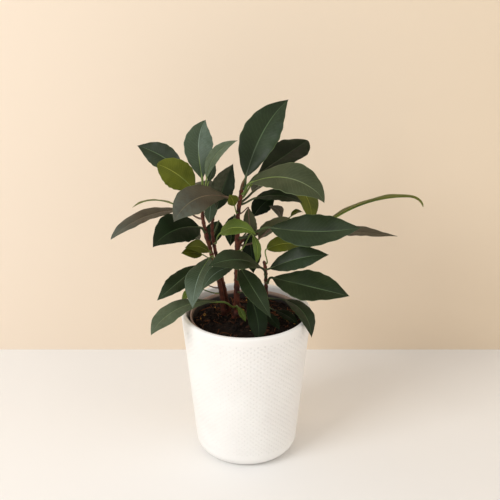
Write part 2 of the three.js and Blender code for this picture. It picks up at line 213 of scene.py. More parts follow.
def build_leaf_group(lay: BladePattern) -> bpy.types.NodeTree:
    """The pattern of a blade, worked out from its own map: across is x and along is y.

    Args:
        lay: How the veins lie.

    Returns:
        The node group, with masks for the midrib, the side veins and the margin, and a height.
    """
    inputs = {"Map": "Vector", "Veins": "Float", "Slant": "Float"}
    graph, given, out = new_group("leaf_pattern", inputs, ["Midrib", "Vein", "Margin", "Height"])
    axes = graph.add("SeparateXYZ", {0: given["Map"]})
    across = graph.math("ABSOLUTE", graph.math("MULTIPLY_ADD", axes.outputs[0], 2.0, -1.0))
    along = axes.outputs[1]
    taper = graph.spread(along, 0.0, 1.0, 1.0, lay.tip_taper)
    midrib = graph.spread(graph.math("DIVIDE", across, taper), *lay.midrib, 1.0, 0.0)
    wander = graph.math("MULTIPLY", graph.noise(given["Map"], lay.wander_scale, 2.0), lay.wander)
    lean = graph.math("MULTIPLY", across, given["Slant"])
    line = graph.math("ADD", graph.math("SUBTRACT", along, lean), wander)
    wave = graph.math("FRACT", graph.math("MULTIPLY", line, given["Veins"]))
    ridge = graph.math("ABSOLUTE", graph.math("SUBTRACT", wave, 0.5))
    fade = graph.spread(across, *lay.vein_fade, 1.0, 0.0)
    vein = graph.math("MULTIPLY", graph.spread(ridge, 0.0, lay.vein, 1.0, 0.0), fade)
    margin = graph.spread(across, *lay.margin, 0.0, 1.0)
    sunk = graph.math("MULTIPLY", midrib, -lay.midrib_depth)
    height = graph.math("MULTIPLY_ADD", vein, -lay.vein_depth, sunk)
    graph.fill(out, {"Midrib": midrib, "Vein": vein, "Margin": margin, "Height": height})
    return graph.tree


def build_grain_group() -> bpy.types.NodeTree:
    """Fine pits and grains, for a bump.

    Returns:
        The node group, with a Height output.
    """
    graph, given, out = new_group("grain", {"Vector": "Vector", "Scale": "Float"}, ["Height"])
    cells = graph.add("TexVoronoi", {"Vector": given["Vector"], "Scale": given["Scale"]})
    soft = graph.noise(given["Vector"], given["Scale"], 5.0)
    graph.fill(out, {"Height": graph.math("ADD", cells.outputs[0], soft)})
    return graph.tree


# ------------------------------------------------------------------------------------------- finishes


class Palette:
    """Builds each finish's material once and hands it out by the finish's name."""

    def __init__(self) -> None:
        """Builds the shared node groups."""
        self.mottle = build_mottle_group()
        self.leaf = build_leaf_group(BladePattern())
        self.grain = build_grain_group()
        self.made: dict[str, bpy.types.Material] = {}

    def get(self, finish: "Finish") -> bpy.types.Material:
        """Gives a finish's material, built the first time it is asked for.

        Args:
            finish: The finish.

        Returns:
            Its material.
        """
        if finish.name not in self.made:
            self.made[finish.name] = finish.build(self)
        return self.made[finish.name]


@dataclass(frozen=True)
class Finish:
    """What every finish has: a name and a way to start its material."""

    name: str

    def start(self) -> tuple[bpy.types.Material, Graph, bpy.types.Node]:
        """Starts a material with a Principled shader.

        Returns:
            The material, its graph and its shader.
        """
        material = bpy.data.materials.new(self.name)
        material.use_nodes = True
        graph = Graph(material.node_tree)
        return material, graph, material.node_tree.nodes[SHADER]

    def build(self, palette: Palette) -> bpy.types.Material:
        """Builds the material. Each kind of finish has its own way."""
        raise NotImplementedError


@dataclass(frozen=True)
class SurfaceFinish(Finish):
    """A plain surface with two colours in soft blotches and a fine grain."""

    low: int = 0x808080
    high: int = 0x909090
    blotch: float = 60.0
    grain: float = 1500.0
    relief: float = 0.1
    depth: float = 0.0002
    rough_low: float = 0.5
    rough_high: float = 0.6
    specular: float = 0.5

    def build(self, palette: Palette) -> bpy.types.Material:
        """Builds the material.

        Args:
            palette: The shared node groups.

        Returns:
            The material.
        """
        material, graph, shader = self.start()
        place = graph.add("TexCoord").outputs["Object"]
        mottle = graph.group(palette.mottle, {"Vector": place, "Scale": self.blotch})
        grain = graph.group(palette.grain, {"Vector": place, "Scale": self.grain})
        colour = graph.mix(mottle.outputs["Mask"], paint(self.low), paint(self.high))
        rough = graph.spread(mottle.outputs["Fine"], *FINE_SPAN, self.rough_low, self.rough_high)
        bump = graph.add("Bump", {"Strength": self.relief, "Distance": self.depth,
                                  "Height": grain.outputs["Height"]})
        graph.fill(shader, {"Base Color": colour, "Roughness": rough, "Normal": bump.outputs[0],
                            "Specular IOR Level": self.specular})
        return material


@dataclass(frozen=True)
class ShadedBelowFinish(SurfaceFinish):
    """A surface darkened below a height: painted shade, standing in for the shade that falls inside the pot.
    """

    # The painted shade's colour.
    painted_shade: int = 0x1C130E
    height: float = 0.1545
    fade: float = 0.0012

    def build(self, palette: Palette) -> bpy.types.Material:
        """Builds the material.

        Args:
            palette: The shared node groups.

        Returns:
            The material.
        """
        material = super().build(palette)
        graph = Graph(material.node_tree)
        shader = material.node_tree.nodes[SHADER]
        unshaded = shader.inputs["Base Color"].links[0].from_socket
        level = graph.add("SeparateXYZ", {0: graph.add("TexCoord").outputs["Object"]}).outputs[2]
        # Painted shade below the height, fading in over a short span.
        share = graph.spread(level, self.height - self.fade, self.height + self.fade, 1.0, 0.0)
        graph.fill(shader, {"Base Color": graph.mix(share, unshaded, paint(self.painted_shade))})
        return material


@dataclass(frozen=True)
class LeafFinish(Finish):
    """A leathery blade: two greens, pale veins and margin, and a painted bluish sheen that stands in for the
    sky's reflection.
    """

    body: int = 0x18230C
    patch: int = 0x222E15
    vein: int = 0x566A48
    margin: int = 0x55683F
    # The painted sheen's colour: a bluish grey that stands in for the sky's reflection on the gloss.
    painted_sheen: int = 0x445740
    vein_share: float = 0.07
    rough: float = 0.42
    specular: float = 0.22
    veins: float = 21.0
    slant: float = 0.16
    blotch: float = 45.0
    grain: float = 1400.0
    grain_share: float = 0.06
    # How the fine blotches break the painted sheen into speckles.
    sheen_speckle: tuple[float, float, float, float] = (0.3, 0.75, 0.45, 1.0)
    midrib_share: float = 0.9
    margin_share: float = 0.7
    back_share: float = 0.35
    duller: float = 0.1
    shinier: float = 0.05
    relief: float = 0.35
    depth: float = 0.0004

    def build(self, palette: Palette) -> bpy.types.Material:
        """Builds the material.

        Args:
            palette: The shared node groups.

        Returns:
            The material.
        """
        material, graph, shader = self.start()
        chart = graph.add("UVMap", uv_map=CHART).outputs[0]
        place = graph.add("TexCoord").outputs["Object"]
        pattern = graph.group(palette.leaf, {"Map": chart, "Veins": self.veins, "Slant": self.slant})
        mottle = graph.group(palette.mottle, {"Vector": place, "Scale": self.blotch})
        # Painted sheen: a bluish colour mixed in by each point's sheen value and speckled by the fine
        # blotches. It stands in for the sky's reflection.
        painted_sheen = graph.add("Attribute", attribute_name="painted_sheen").outputs["Fac"]
        back = graph.add("Attribute", attribute_name="underside").outputs["Fac"]
        colour = graph.mix(mottle.outputs["Mask"], paint(self.body), paint(self.patch))
        speckled_sheen = graph.math("MULTIPLY", painted_sheen, graph.spread(mottle.outputs["Fine"], *self.sheen_speckle))
        colour = graph.mix(speckled_sheen, colour, paint(self.painted_sheen))
        layers = (
            (pattern.outputs["Vein"], self.vein_share, self.vein),
            (pattern.outputs["Midrib"], self.midrib_share, self.vein),
            (pattern.outputs["Margin"], self.margin_share, self.margin),
            (back, self.back_share, self.margin),
        )
        for mask, share, tint in layers:
            colour = graph.mix(graph.math("MULTIPLY", mask, share), colour, paint(tint))
        ends = self.rough - self.shinier, self.rough + self.duller
        rough = graph.spread(mottle.outputs["Fine"], *FINE_SPAN, *ends)
        grain = graph.group(palette.grain, {"Vector": place, "Scale": self.grain})
        pits = grain.outputs["Height"]
        height = graph.math("MULTIPLY_ADD", pits, self.grain_share, pattern.outputs["Height"])
        bump = graph.add("Bump", {"Strength": self.relief, "Distance": self.depth, "Height": height})
        graph.fill(shader, {"Base Color": colour, "Roughness": rough, "Normal": bump.outputs[0],
                            "Specular IOR Level": self.specular})
        return material


GLAZE = SurfaceFinish("satin_white_glaze", 0xF3F1EE, 0xF7F6F3, 25.0, 900.0, 0.05, 0.0001, 0.42, 0.5, 0.45)
# The nursery pot's plastic, darkened below the top of its rim: painted shade for the shadowed inside of the
# pot.
PLASTIC = ShadedBelowFinish("pot_plastic", 0x9C8072, 0xB39A8A, 40.0, 1300.0, 0.1, 0.0002, 0.45, 0.6, 0.4)
SOIL = SurfaceFinish("damp_soil", 0x0E0805, 0x22140B, 180.0, 900.0, 0.8, 0.0012, 0.85, 1.0, 0.2)
BARK_CHIP = SurfaceFinish("bark_chip", 0x2A170D, 0x50301D, 160.0, 900.0, 0.6, 0.0006, 0.75, 0.95, 0.25)
FIBRE = SurfaceFinish("soil_fibre", 0x5A3018, 0x8A5228, 200.0, 1200.0, 0.3, 0.0002, 0.7, 0.9, 0.25)
STRAW = SurfaceFinish("straw_bit", 0xA8742C, 0xC99A4C, 200.0, 1200.0, 0.3, 0.0002, 0.6, 0.8, 0.3)
BARK = SurfaceFinish("stem_bark", 0x35160C, 0x6A3420, 150.0, 900.0, 0.7, 0.0006, 0.5, 0.75, 0.35)
BUD = SurfaceFinish("bud_sheath", 0x4A2418, 0x6E5A30, 120.0, 900.0, 0.3, 0.0003, 0.4, 0.6, 0.4)
STALK_GREEN = SurfaceFinish("stalk_green", 0x4E6428, 0x75883A, 70.0, 1200.0, 0.15, 0.0002, 0.38, 0.5, 0.45)
STALK_DARK = SurfaceFinish("stalk_dark", 0x243017, 0x46552A, 70.0, 1200.0, 0.15, 0.0002, 0.38, 0.5, 0.45)
STALK_BROWN = SurfaceFinish("stalk_brown", 0x5A4436, 0x7B6450, 70.0, 1200.0, 0.2, 0.0002, 0.45, 0.6, 0.4)


@dataclass(frozen=True)
class Tone:
    """A leaf tone: its slot, the blade's finish and the stalk's."""

    slot: Slot
    blade: LeafFinish
    stalk: SurfaceFinish


def tone(name: str, stalk: SurfaceFinish, *values: float) -> Tone:
    """Gives the tone whose slot and blade finish end in a name."""
    return Tone(Slot(f"leaf_{name}"), LeafFinish(f"blade_{name}", *values), stalk)


# Each blade's values are a LeafFinish's, in order, from its body on.
TONES = {
    "deep": tone("deep", STALK_DARK),
    "blue": tone("blue", STALK_GREEN, 0x323F29, 0x3D4A34, 0x7F9280, 0x6A7F68, 0x76877A, 0.1),
    "grey": tone("grey", STALK_GREEN, 0x333A22, 0x3F462C, 0x76825C, 0x76855C, 0x6E7F66, 0.08),
    "olive": tone("olive", STALK_GREEN, 0x454C06, 0x5A6010, 0x96983C, 0x767F2E, 0x7D8450, 0.1),
    "lime": tone("lime", STALK_GREEN, 0x485A18, 0x596B25, 0x9CAC48, 0x7C9444, 0x7C8A60, 0.1),
    # The brown tone is partly the blades' own brown-grey and partly a painted warm reflection on blades seen
    # at a grazing angle.
    "brown": tone("brown", STALK_BROWN, 0x3D3629, 0x4B4535, 0x706850, 0x505C34, 0x66776E, 0.08),
    # The dark tone is painted shade: the deep green darkened further, for blades that hang in shadow.
    "dark": tone("dark", STALK_DARK, 0x0A1605, 0x11200A, 0x33452A, 0x28381C, 0x5C5B48, 0.05, 0.45, 0.12),
    "dry": tone("dry", STALK_BROWN, 0x7A4420, 0xA0602C, 0xB88048, 0x9A6A3A, 0xB09070, 0.3, 0.6),
}


# ----------------------------------------------------------------------------------------- mesh tools


def to_object(mesh: bmesh.types.BMesh, name: str, finishes: list[bpy.types.Material]) -> bpy.types.Object:
    """Turns a bmesh into a smooth object at the origin.

    Args:
        mesh: The bmesh, freed here.
        name: The object's name.
        finishes: Its materials, in the order of the faces' material numbers.

    Returns:
        The object, linked to the scene.
    """
    data = bpy.data.meshes.new(name)
    mesh.to_mesh(data)
    mesh.free()
    for material in finishes:
        data.materials.append(material)
    for polygon in data.polygons:
        polygon.use_smooth = True
    made = bpy.data.objects.new(name, data)
    bpy.context.scene.collection.objects.link(made)
    return made


def place_piece(made: bpy.types.Object, slot: Slot, *nodes: str) -> bpy.types.Object:
    """Hangs a finished piece on the body and hides the CAD nodes that it stands for.

    Args:
        made: The piece.
        slot: The material slot that it takes its finish from; not used here.
        nodes: The CAD nodes that it stands for, if any.

    Returns:
        The piece.
    """
    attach(made, BODY)
    if nodes:
        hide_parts(*nodes)
    LOG.info("%s: %d faces", made.name, len(made.data.polygons))
    return made


def spin_profile(mesh: bmesh.types.BMesh, profile: list[tuple[float, float]], steps: int) -> None:
    """Spins (radius, height) pairs once round Z into a closed shell.

    Args:
        mesh: The bmesh that takes the shell.
        profile: The pairs, from axis to axis.
        steps: How many columns of faces go round.
    """
    spots = [mesh.verts.new((radius, 0.0, height)) for radius, height in profile]
    lines = [mesh.edges.new(pair) for pair in zip(spots, spots[1:])]
    bmesh.ops.spin(mesh, geom=spots + lines, cent=(0, 0, 0), axis=(0, 0, 1), angle=2 * math.pi,
                   steps=steps, use_merge=True, use_duplicate=False)
    bmesh.ops.remove_doubles(mesh, verts=mesh.verts, dist=SPIN_WELD)
    bmesh.ops.recalc_face_normals(mesh, faces=mesh.faces)


def wrap_tube(
    mesh: bmesh.types.BMesh,
    rings: int,
    sides: int,
    place: Callable[[float, float], Vector],
    material: int = 0,
    chart: Callable[[float, float], tuple[float, float]] | None = None,
) -> list[bmesh.types.BMVert]:
    """Wraps a grid into a closed tube with filled ends.

    Args:
        mesh: The bmesh that takes the tube.
        rings: How many rows of faces run along it.
        sides: How many faces go round it.
        place: Gives the point for a share along and a share round.
        material: The faces' material number.
        chart: Gives the map point for the same shares.

    Returns:
        The tube's vertices.
    """
    layer = mesh.loops.layers.uv.get(CHART) or mesh.loops.layers.uv.new(CHART)
    made = bmesh.ops.create_grid(mesh, x_segments=rings, y_segments=sides, size=1.0)
    spots = made["verts"]
    shares = {v: ((v.co.x + 1) / 2, (v.co.y + 1) / 2) for v in spots}
    faces = {f for v in spots for f in v.link_faces}
    for face in faces:
        face.material_index = material
        for loop in face.loops:
            loop[layer].uv = (chart or (lambda along, turn: (turn, along)))(*shares[loop.vert])
    for spot in spots:
        spot.co = place(*shares[spot])
    bmesh.ops.remove_doubles(mesh, verts=spots, dist=TUBE_WELD)
    spots = [v for v in spots if v.is_valid]
    rims = [e for e in {e for v in spots for e in v.link_edges} if e.is_boundary]
    caps = bmesh.ops.holes_fill(mesh, edges=rims, sides=0)["faces"]
    for face in caps:
        face.material_index = material
    whole = list({f for v in spots for f in v.link_faces})
    bmesh.ops.recalc_face_normals(mesh, faces=whole)
    return spots


def square_to(direction: Vector, along: Vector) -> Vector:
    """The part of a direction that is square to another, one unit long."""
    return (direction - along * direction.dot(along)).normalized()


def heading(bearing: float, rise: float) -> Vector:
    """The direction of a bearing and a rise above level, both in degrees."""
    turn, lift = math.radians(bearing), math.radians(rise)
    return Vector((math.cos(turn) * math.cos(lift), math.sin(turn) * math.cos(lift), math.sin(lift)))


def round_line(way: Vector, turn: float) -> Vector:
    """The direction square to a line at a share of a turn round it.

    Args:
        way: The line's direction.
        turn: The share of a turn, from 0 to 1.

    Returns:
        The direction, one unit long.
    """
    side = square_to(Vector((1, 0, 0)), way)
    other = way.cross(side)
    angle = 2 * math.pi * turn
    return side * math.cos(angle) + other * math.sin(angle)


# ---------------------------------------------------------------------------------------------- stems


@dataclass
class Stem:
    """A woody stem: a line of given points in millimetres, thick at the foot, thin at the tip."""

    name: str
    radius: float
    top: float
    line: list[tuple[float, float, float]]
    rings: int = 150
    sides: int = 18
    scar_pitch: float = 7.5
    scar_height: float = 0.42
    flare: float = 0.25
    flare_height: float = 152.0
    flare_reach: float = 11.0
    scar_sharpness: float = 7.0
    bark_inset: float = 0.12
    roughness: float = 0.10
    rough_round: float = 1.3
    rough_along: float = 0.45
    tip_start: float = 0.985
    tip_share: float = 0.015
    tip_least: float = 0.2
    halvings: int = 24
    steps: int = 60
    points: list[Vector] = field(default_factory=list)
    shares: list[float] = field(default_factory=list)

    def __post_init__(self) -> None:
        """Samples the smooth line through the points."""
        knots = [Vector(p) for p in self.line]
        knots = [2 * knots[0] - knots[1], *knots, 2 * knots[-1] - knots[-2]]
        for a, b, c, d in zip(knots, knots[1:], knots[2:], knots[3:]):
            for i in range(self.steps):
                t = i / self.steps
                self.points.append(0.5 * (2 * b + t * (c - a) + t * t * (2 * a - 5 * b + 4 * c - d)
                                          + t ** 3 * (3 * b - a - 3 * c + d)))
        self.points.append(knots[-2])
        lengths = [0.0]
        for a, b in zip(self.points, self.points[1:]):
            lengths.append(lengths[-1] + (b - a).length)
        self.shares = [length / lengths[-1] for length in lengths]

    def sample(self, share: float) -> tuple[Vector, Vector]:
        """The point and direction at a share of the stem's length.

        Args:
            share: The share, from 0 at the foot to 1 at the tip.

        Returns:
            The point and the direction.
        """
        last = len(self.points) - 1
        i = min(int(share * last), last - 1)
        while i > 0 and self.shares[i] > share:
            i -= 1
        while i < last - 1 and self.shares[i + 1] < share:
            i += 1
        span = self.shares[i + 1] - self.shares[i]
        part = (share - self.shares[i]) / span
        along = (self.points[i + 1] - self.points[i]).normalized()
        return self.points[i].lerp(self.points[i + 1], part), along

    def at_height(self, height: float) -> tuple[Vector, Vector, float]:
        """The centre, direction and radius where the stem passes a height.

        Args:
            height: The height, in millimetres.

        Returns:
            The centre, the direction and the radius.
        """
        low, high = 0.0, 1.0
        for _ in range(self.halvings):
            middle = (low + high) / 2
            if self.sample(middle)[0].z < height:
                low = middle
            else:
                high = middle
        centre, along = self.sample(low)
        return centre, along, self.thickness(low)

    def thickness(self, share: float) -> float:
        """The stem's radius at a share of its length."""
        return self.radius + (self.top - self.radius) * share

    def build(self, palette: Palette) -> bpy.types.Object:
        """Builds the stem with its leaf scars and rough bark.

        Args:
            palette: The materials.

        Returns:
            The stem's object.
        """
        mesh = bmesh.new()
        length = sum((b - a).length for a, b in zip(self.points, self.points[1:]))

        def place(along: float, turn: float) -> Vector:
            """The bark's point at a share along and a share round, in metres."""
            centre, way = self.sample(min(along, NEARLY_ALL))
            outward = round_line(way, turn)
            phase = along * length / self.scar_pitch
            collar = math.exp(-((phase - round(phase)) * self.scar_sharpness) ** 2)
            rough = noise.fractal(outward * self.rough_round + centre * self.rough_along, 1.0, 2.0, 3)
            swell = self.flare * math.exp(-((centre.z - self.flare_height) / self.flare_reach) ** 2)
            radius = self.thickness(along) * (1 + (self.roughness + swell) * rough + swell)
            radius += self.scar_height * collar - self.bark_inset
            if along > self.tip_start:
                radius *= max(self.tip_least, (1 - along) / self.tip_share)
            return (centre + outward * radius) * MM

        wrap_tube(mesh, self.rings, self.sides, place)
        made = to_object(mesh, f"{self.name}_stem", [palette.get(BARK)])
        return place_piece(made, Slot.BARK, f"stem_{self.name}")


CENTRE_LINE = [(-10, 5, 95), (-10, 5, 150), (-9, 4, 230), (-8, 3, 265), (-4, 2, 295)]
LEFT_LINE = [(-20, 15, 95), (-25, 10, 170), (-35, 5, 220), (-43, 0, 262), (-43, 0, 298)]
INNER_LINE = [(-15, 20, 95), (-20, 16, 160), (-32, 10, 225), (-34, 8, 255), (-28, 4, 275)]
RIGHT_LINE = [(15, 12, 95), (20, 8, 160), (20, 4, 200), (18, 3, 215)]
BRANCH_LINE = [(-8, 9, 226), (-4, 19, 230), (15, 27, 238), (40, 28, 247)]
STEMS = {
    "centre": Stem("centre", 4, 1.9, CENTRE_LINE, flare=0.6),
    "left": Stem("left", 3, 1.6, LEFT_LINE),
    "inner": Stem("inner", 2.8, 1.5, INNER_LINE),
    "right": Stem("right", 3, 1.7, RIGHT_LINE),
    "branch": Stem("branch", 1.8, 1.3, BRANCH_LINE, rings=60, sides=14),
}


@dataclass
class CrownBud:
    """The pointed sheath round the next leaf, at the tip of a stem."""

    stem: Stem
    length: float = 13.0
    radius: float = 1.6
    lean: float = 1.5
    tip_power: float = 0.7
    belly: float = 0.35
    tip_radius: float = 0.08
    rings: int = 24
    sides: int = 12

    def build(self, palette: Palette) -> bpy.types.Object:
        """Builds the bud.

        Args:
            palette: The materials.

        Returns:
            The bud's object.
        """
        base, way = self.stem.sample(self.stem.tip_start)
        side = square_to(Vector((1, 0, 0)), way)

        def place(along: float, turn: float) -> Vector:
            """The sheath's point at a share along and a share round, in metres."""
            swell = (1 - along) ** self.tip_power * (1 + self.belly * math.sin(math.pi * along))
            centre = base + way * self.length * along + side * self.lean * along * along
            return (centre + round_line(way, turn) * (self.radius * swell + self.tip_radius)) * MM

        mesh = bmesh.new()
        wrap_tube(mesh, self.rings, self.sides, place)
        made = to_object(mesh, "crown_bud", [palette.get(BUD)])
        return place_piece(made, Slot.BARK)


# --------------------------------------------------------------------------------------------- leaves


@dataclass(frozen=True)
class Growth:
    """How one leaf grows, in millimetres and degrees.

    Bearings run from 0 at the right to 90 at the back and -90 at the front. stalk and blade each hold a
    bearing, a rise and a length; bend holds how far the blade swings sideways, droops, and hooks at its
    tip; widest is where along the blade it is widest; face is the way its upper side looks; fold is how
    far each half folds up.
    """

    name: str
    height: float
    stalk: tuple[float, float, float]
    blade: tuple[float, float, float]
    bend: tuple[float, float, float]
    width: float
    widest: float
    face: tuple[float, float, float]
    fold: float
    tone: str


@dataclass(frozen=True)
class PaintedSheen:
    """Where a blade carries painted sheen, a bluish colour that stands in for the sky's reflection: how
    strong, from which share on, and on which side.
    """

    strength: float
    start: float = 0.0
    side: float = 0.0
    fade: float = 0.35
    weakest: float = 0.15
    sharpness: float = 3.0

    def at(self, share: float, across: float) -> float:
        """How strong the painted sheen is at a spot of the blade.

        Args:
            share: The share of the blade's length.
            across: How far across the blade, from -1 to 1.

        Returns:
            The strength, from 0 to 1.
        """
        sided, later = 1.0, 1.0
        if self.side != 0:
            sided = min(1.0, max(self.weakest, 0.5 + self.sharpness * across * self.side))
        if self.start != 0:
            later = min(1.0, max(0.0, (share - self.start) / self.fade))
        return self.strength * sided * later


# Painted sheen on the blades that show the sky's reflection, on one half only where a side is given.
PAINTED_SHEENS = {
    "crown_tall": PaintedSheen(0.35, 0.1, 1.0),
    "left_upright": PaintedSheen(0.45, 0.2, 1.0),
    "left_brown": PaintedSheen(0.4, 0.45),
    "left_long": PaintedSheen(0.45, 0.55),
    "left_droop": PaintedSheen(0.4, 0.5),
    "left_low": PaintedSheen(0.5, 0.6),
    "right_big": PaintedSheen(0.25, 0.0, 1.0),
    "right_mid": PaintedSheen(0.35, 0.1, 1.0),
    "rim_left": PaintedSheen(0.4, 0.1),
    "left_green": PaintedSheen(0.1, 0.6),
    "black_upright": PaintedSheen(0.6, 0.0, -1.0),
    "front_left_up": PaintedSheen(0.2, 0.4),
    "crown_light": PaintedSheen(0.5),
}


# Every other blade carries a faint painted sheen.
FAINT_SHEEN = PaintedSheen(0.03)
# The power of the outline near the tip. The lower it is, the blunter the blade ends.
BLUNT_TIPS = {
    "crown_back": 0.7,
    "left_olive": 0.6,
    "right_arching": 0.74,
    "olive_back": 0.7,
    "left_long": 0.75,
}


@dataclass
class Leaf:
    """One leaf: a stalk that leaves the stem squarely, and a folded, drooping blade with a pale margin."""

    growth: Growth
    stem: Stem
    rings: int = 72
    sides: int = 40
    stalk_rings: int = 44
    stalk_sides: int = 10
    steps: int = 360
    bend_late: float = 1.3
    hook_start: float = 0.85
    base_power: float = 0.76
    tip_power: float = 1.05
    thickness: float = 0.55
    rim_thickness: float = 0.32
    section_power: float = 0.5
    groove: float = 0.35
    groove_reach: float = 0.05
    start_rate: float = 12.0
    fold_rise: float = 1.6
    fold_level: float = 0.6
    waves: float = 2.2
    wave_height: float = 0.055
    wave_shift: float = 1.3
    ripples: float = 6.1
    ripple: float = 0.016
    scallops: float = 7.3
    scallop: float = 0.02
    even_rows: float = 0.35
    crowded_rows: float = 0.65
    column_power: float = 1.6
    phase_step: float = 0.37
    tip_least: float = 0.22
    stalk_share: float = 0.042
    stalk_least: float = 0.65
    stalk_most: float = 1.3
    stalk_sink: float = 0.5
    stalk_foot: float = 1.25
    stalk_slimming: float = 0.3
    slim_rate: float = 3.0
    base_share: float = 0.8
    route_steps: int = 24
    rib_start: float = 0.4
    rib_reach: float = 0.93
    rib_share: float = 0.95
    rib_power: float = 0.7
    rib_least: float = 0.1
    rib_drop: float = 0.75
    drop_rate: float = 10.0
    rib_gap: float = 0.05
    line: list[tuple[Vector, Vector, Vector]] = field(default_factory=list)
    route: list[tuple[Vector, Vector, Vector]] = field(default_factory=list)

    def __post_init__(self) -> None:
        """Works out the blade's line and the stalk's route, each with its facing direction."""
        self.phase = sum(ord(letter) for letter in self.growth.name) * self.phase_step
        fitting = max(self.stalk_least, self.growth.width * self.stalk_share)
        self.stalk_radius = min(self.stalk_most, fitting)
        self.tip_power = BLUNT_TIPS.get(self.growth.name, self.tip_power)
        self.grow_blade()
        self.grow_stalk()

    def blade_heading(self, share: float) -> Vector:
        """Which way the blade runs at a share of its length.

        Args:
            share: The share, from 0 at the base to 1 at the tip.

        Returns:
            The direction.
        """
        swing, droop, hook = self.growth.bend
        bend = share ** self.bend_late
        tip = max(0.0, (share - self.hook_start) / (1 - self.hook_start))
        return heading(self.growth.blade[0] + swing * bend, self.growth.blade[1] - droop * bend - hook * tip)

    def grow_blade(self) -> None:
        """Steps along the midrib and carries the facing direction from its middle to both ends."""
        centre, _, _ = self.stem.at_height(self.growth.height)
        spot = centre + heading(*self.growth.stalk[:2]) * self.growth.stalk[2]
        step = self.growth.blade[2] / self.steps
        centres, ways = [], []
        for i in range(self.steps + 1):
            centres.append(spot.copy())
            ways.append(self.blade_heading(i / self.steps))
            spot += self.blade_heading((i + 0.5) / self.steps) * step
        middle = self.steps // 2
        ups = [Vector()] * (self.steps + 1)
        ups[middle] = square_to(Vector(self.growth.face), ways[middle])
        for i in range(middle + 1, self.steps + 1):
            ups[i] = square_to(ups[i - 1], ways[i])
        for i in range(middle - 1, -1, -1):
            ups[i] = square_to(ups[i + 1], ways[i])
        self.line = list(zip(centres, ways, ups))

    def grow_stalk(self) -> None:
        """Runs the stalk from inside the stem's bark to the blade's base."""
        centre, along, radius = self.stem.at_height(self.growth.height)
        base, way, up = self.line[0]
        outward = square_to(base - centre, along)
        start = centre + outward * radius * self.stalk_sink
        reach = (base - start).length / 3
        a, b, c, d = start, start + outward * reach, base - way * reach, base
        for i in range(self.route_steps + 1):
            t = i / self.route_steps
            spot = a * (1 - t) ** 3 + b * 3 * t * (1 - t) ** 2 + c * 3 * t * t * (1 - t) + d * t ** 3
            slope = (b - a) * (1 - t) ** 2 + (c - b) * 2 * t * (1 - t) + (d - c) * t * t
            self.route.append((spot, slope.normalized(), up))
        for i in range(self.route_steps - 1, -1, -1):
            spot, slope, _ = self.route[i]
            self.route[i] = (spot, slope, square_to(self.route[i + 1][2], slope))

    def sample(self, share: float) -> tuple[Vector, Vector, Vector]:
        """The centre, direction and facing direction at a share of the blade's length.

        Args:
            share: The share, from 0 at the base to 1 at the tip.

        Returns:
            The centre, the direction and the facing direction.
        """
        spot = share * self.steps
        i = min(int(spot), self.steps - 1)
        a, b = self.line[i], self.line[i + 1]
        return a[0].lerp(b[0], spot - i), a[1], a[2]

    def half_width(self, share: float) -> float:
        """Half the blade's width at a share of its length.

        Args:
            share: The share, from 0 at the base to 1 at the tip.

        Returns:
            Half the width, in millimetres.
        """
        skewed = min(share ** (math.log(0.5) / math.log(self.growth.widest)), 1.0)
        power = self.base_power if skewed < 0.5 else self.tip_power
        outline = math.sin(math.pi * skewed) ** power if 0 < skewed < 1 else 0.0
        least = self.stalk_radius * self.base_share if share < 0.5 else self.tip_least
        return max(outline * self.growth.width / 2, least)

    def blade_point(self, along: float, turn: float) -> Vector:
        """A point of the blade's skin.

        Args:
            along: The row's share of the blade's length, before its ends are drawn closer together.
            turn: The share round the section, upper side first.

        Returns:
            The point, in metres.
        """
        share = self.ease(along)
        centre, way, up = self.sample(share)
        angle = 2 * math.pi * turn
        across = self.across(turn)
        reach = abs(across)
        half = self.half_width(share)
        fold = math.radians(self.growth.fold)
        side = way.cross(up)
        lift = half * math.sin(fold) * (self.fold_rise * reach - self.fold_level * reach ** 3)
        body = min(1.0, self.start_rate * share)
        shift = self.wave_shift if across > 0 else 0.0
        wave = math.sin(2 * math.pi * (self.waves * share) + self.phase + shift)
        fine = math.sin(2 * math.pi * (self.ripples * share) + 2 * self.phase)
        lift += half * reach * reach * (self.wave_height * wave + self.ripple * fine) * body
        edge = 1 + self.scallop * math.sin(2 * math.pi * self.scallops * share + self.phase) * body
        thick = self.thickness + (self.rim_thickness - self.thickness) * reach
        skin = thick / 2 * math.copysign(abs(math.sin(angle)) ** self.section_power, math.sin(angle))
        if math.sin(angle) > 0:
            skin -= self.groove * math.exp(-((across / self.groove_reach) ** 2)) * (1 - share) * body
        spot = centre + side * across * half * edge * math.cos(fold) + up * (lift + skin)
        return spot * MM

    def ease(self, along: float) -> float:
        """Draws the rows closer together towards both ends."""
        return self.even_rows * along + self.crowded_rows * (0.5 - 0.5 * math.cos(math.pi * along))

    def across(self, turn: float) -> float:
        """How far across the blade a share round the section lies, from -1 to 1."""
        flat = math.cos(2 * math.pi * turn)
        return math.copysign(abs(flat) ** self.column_power, flat)

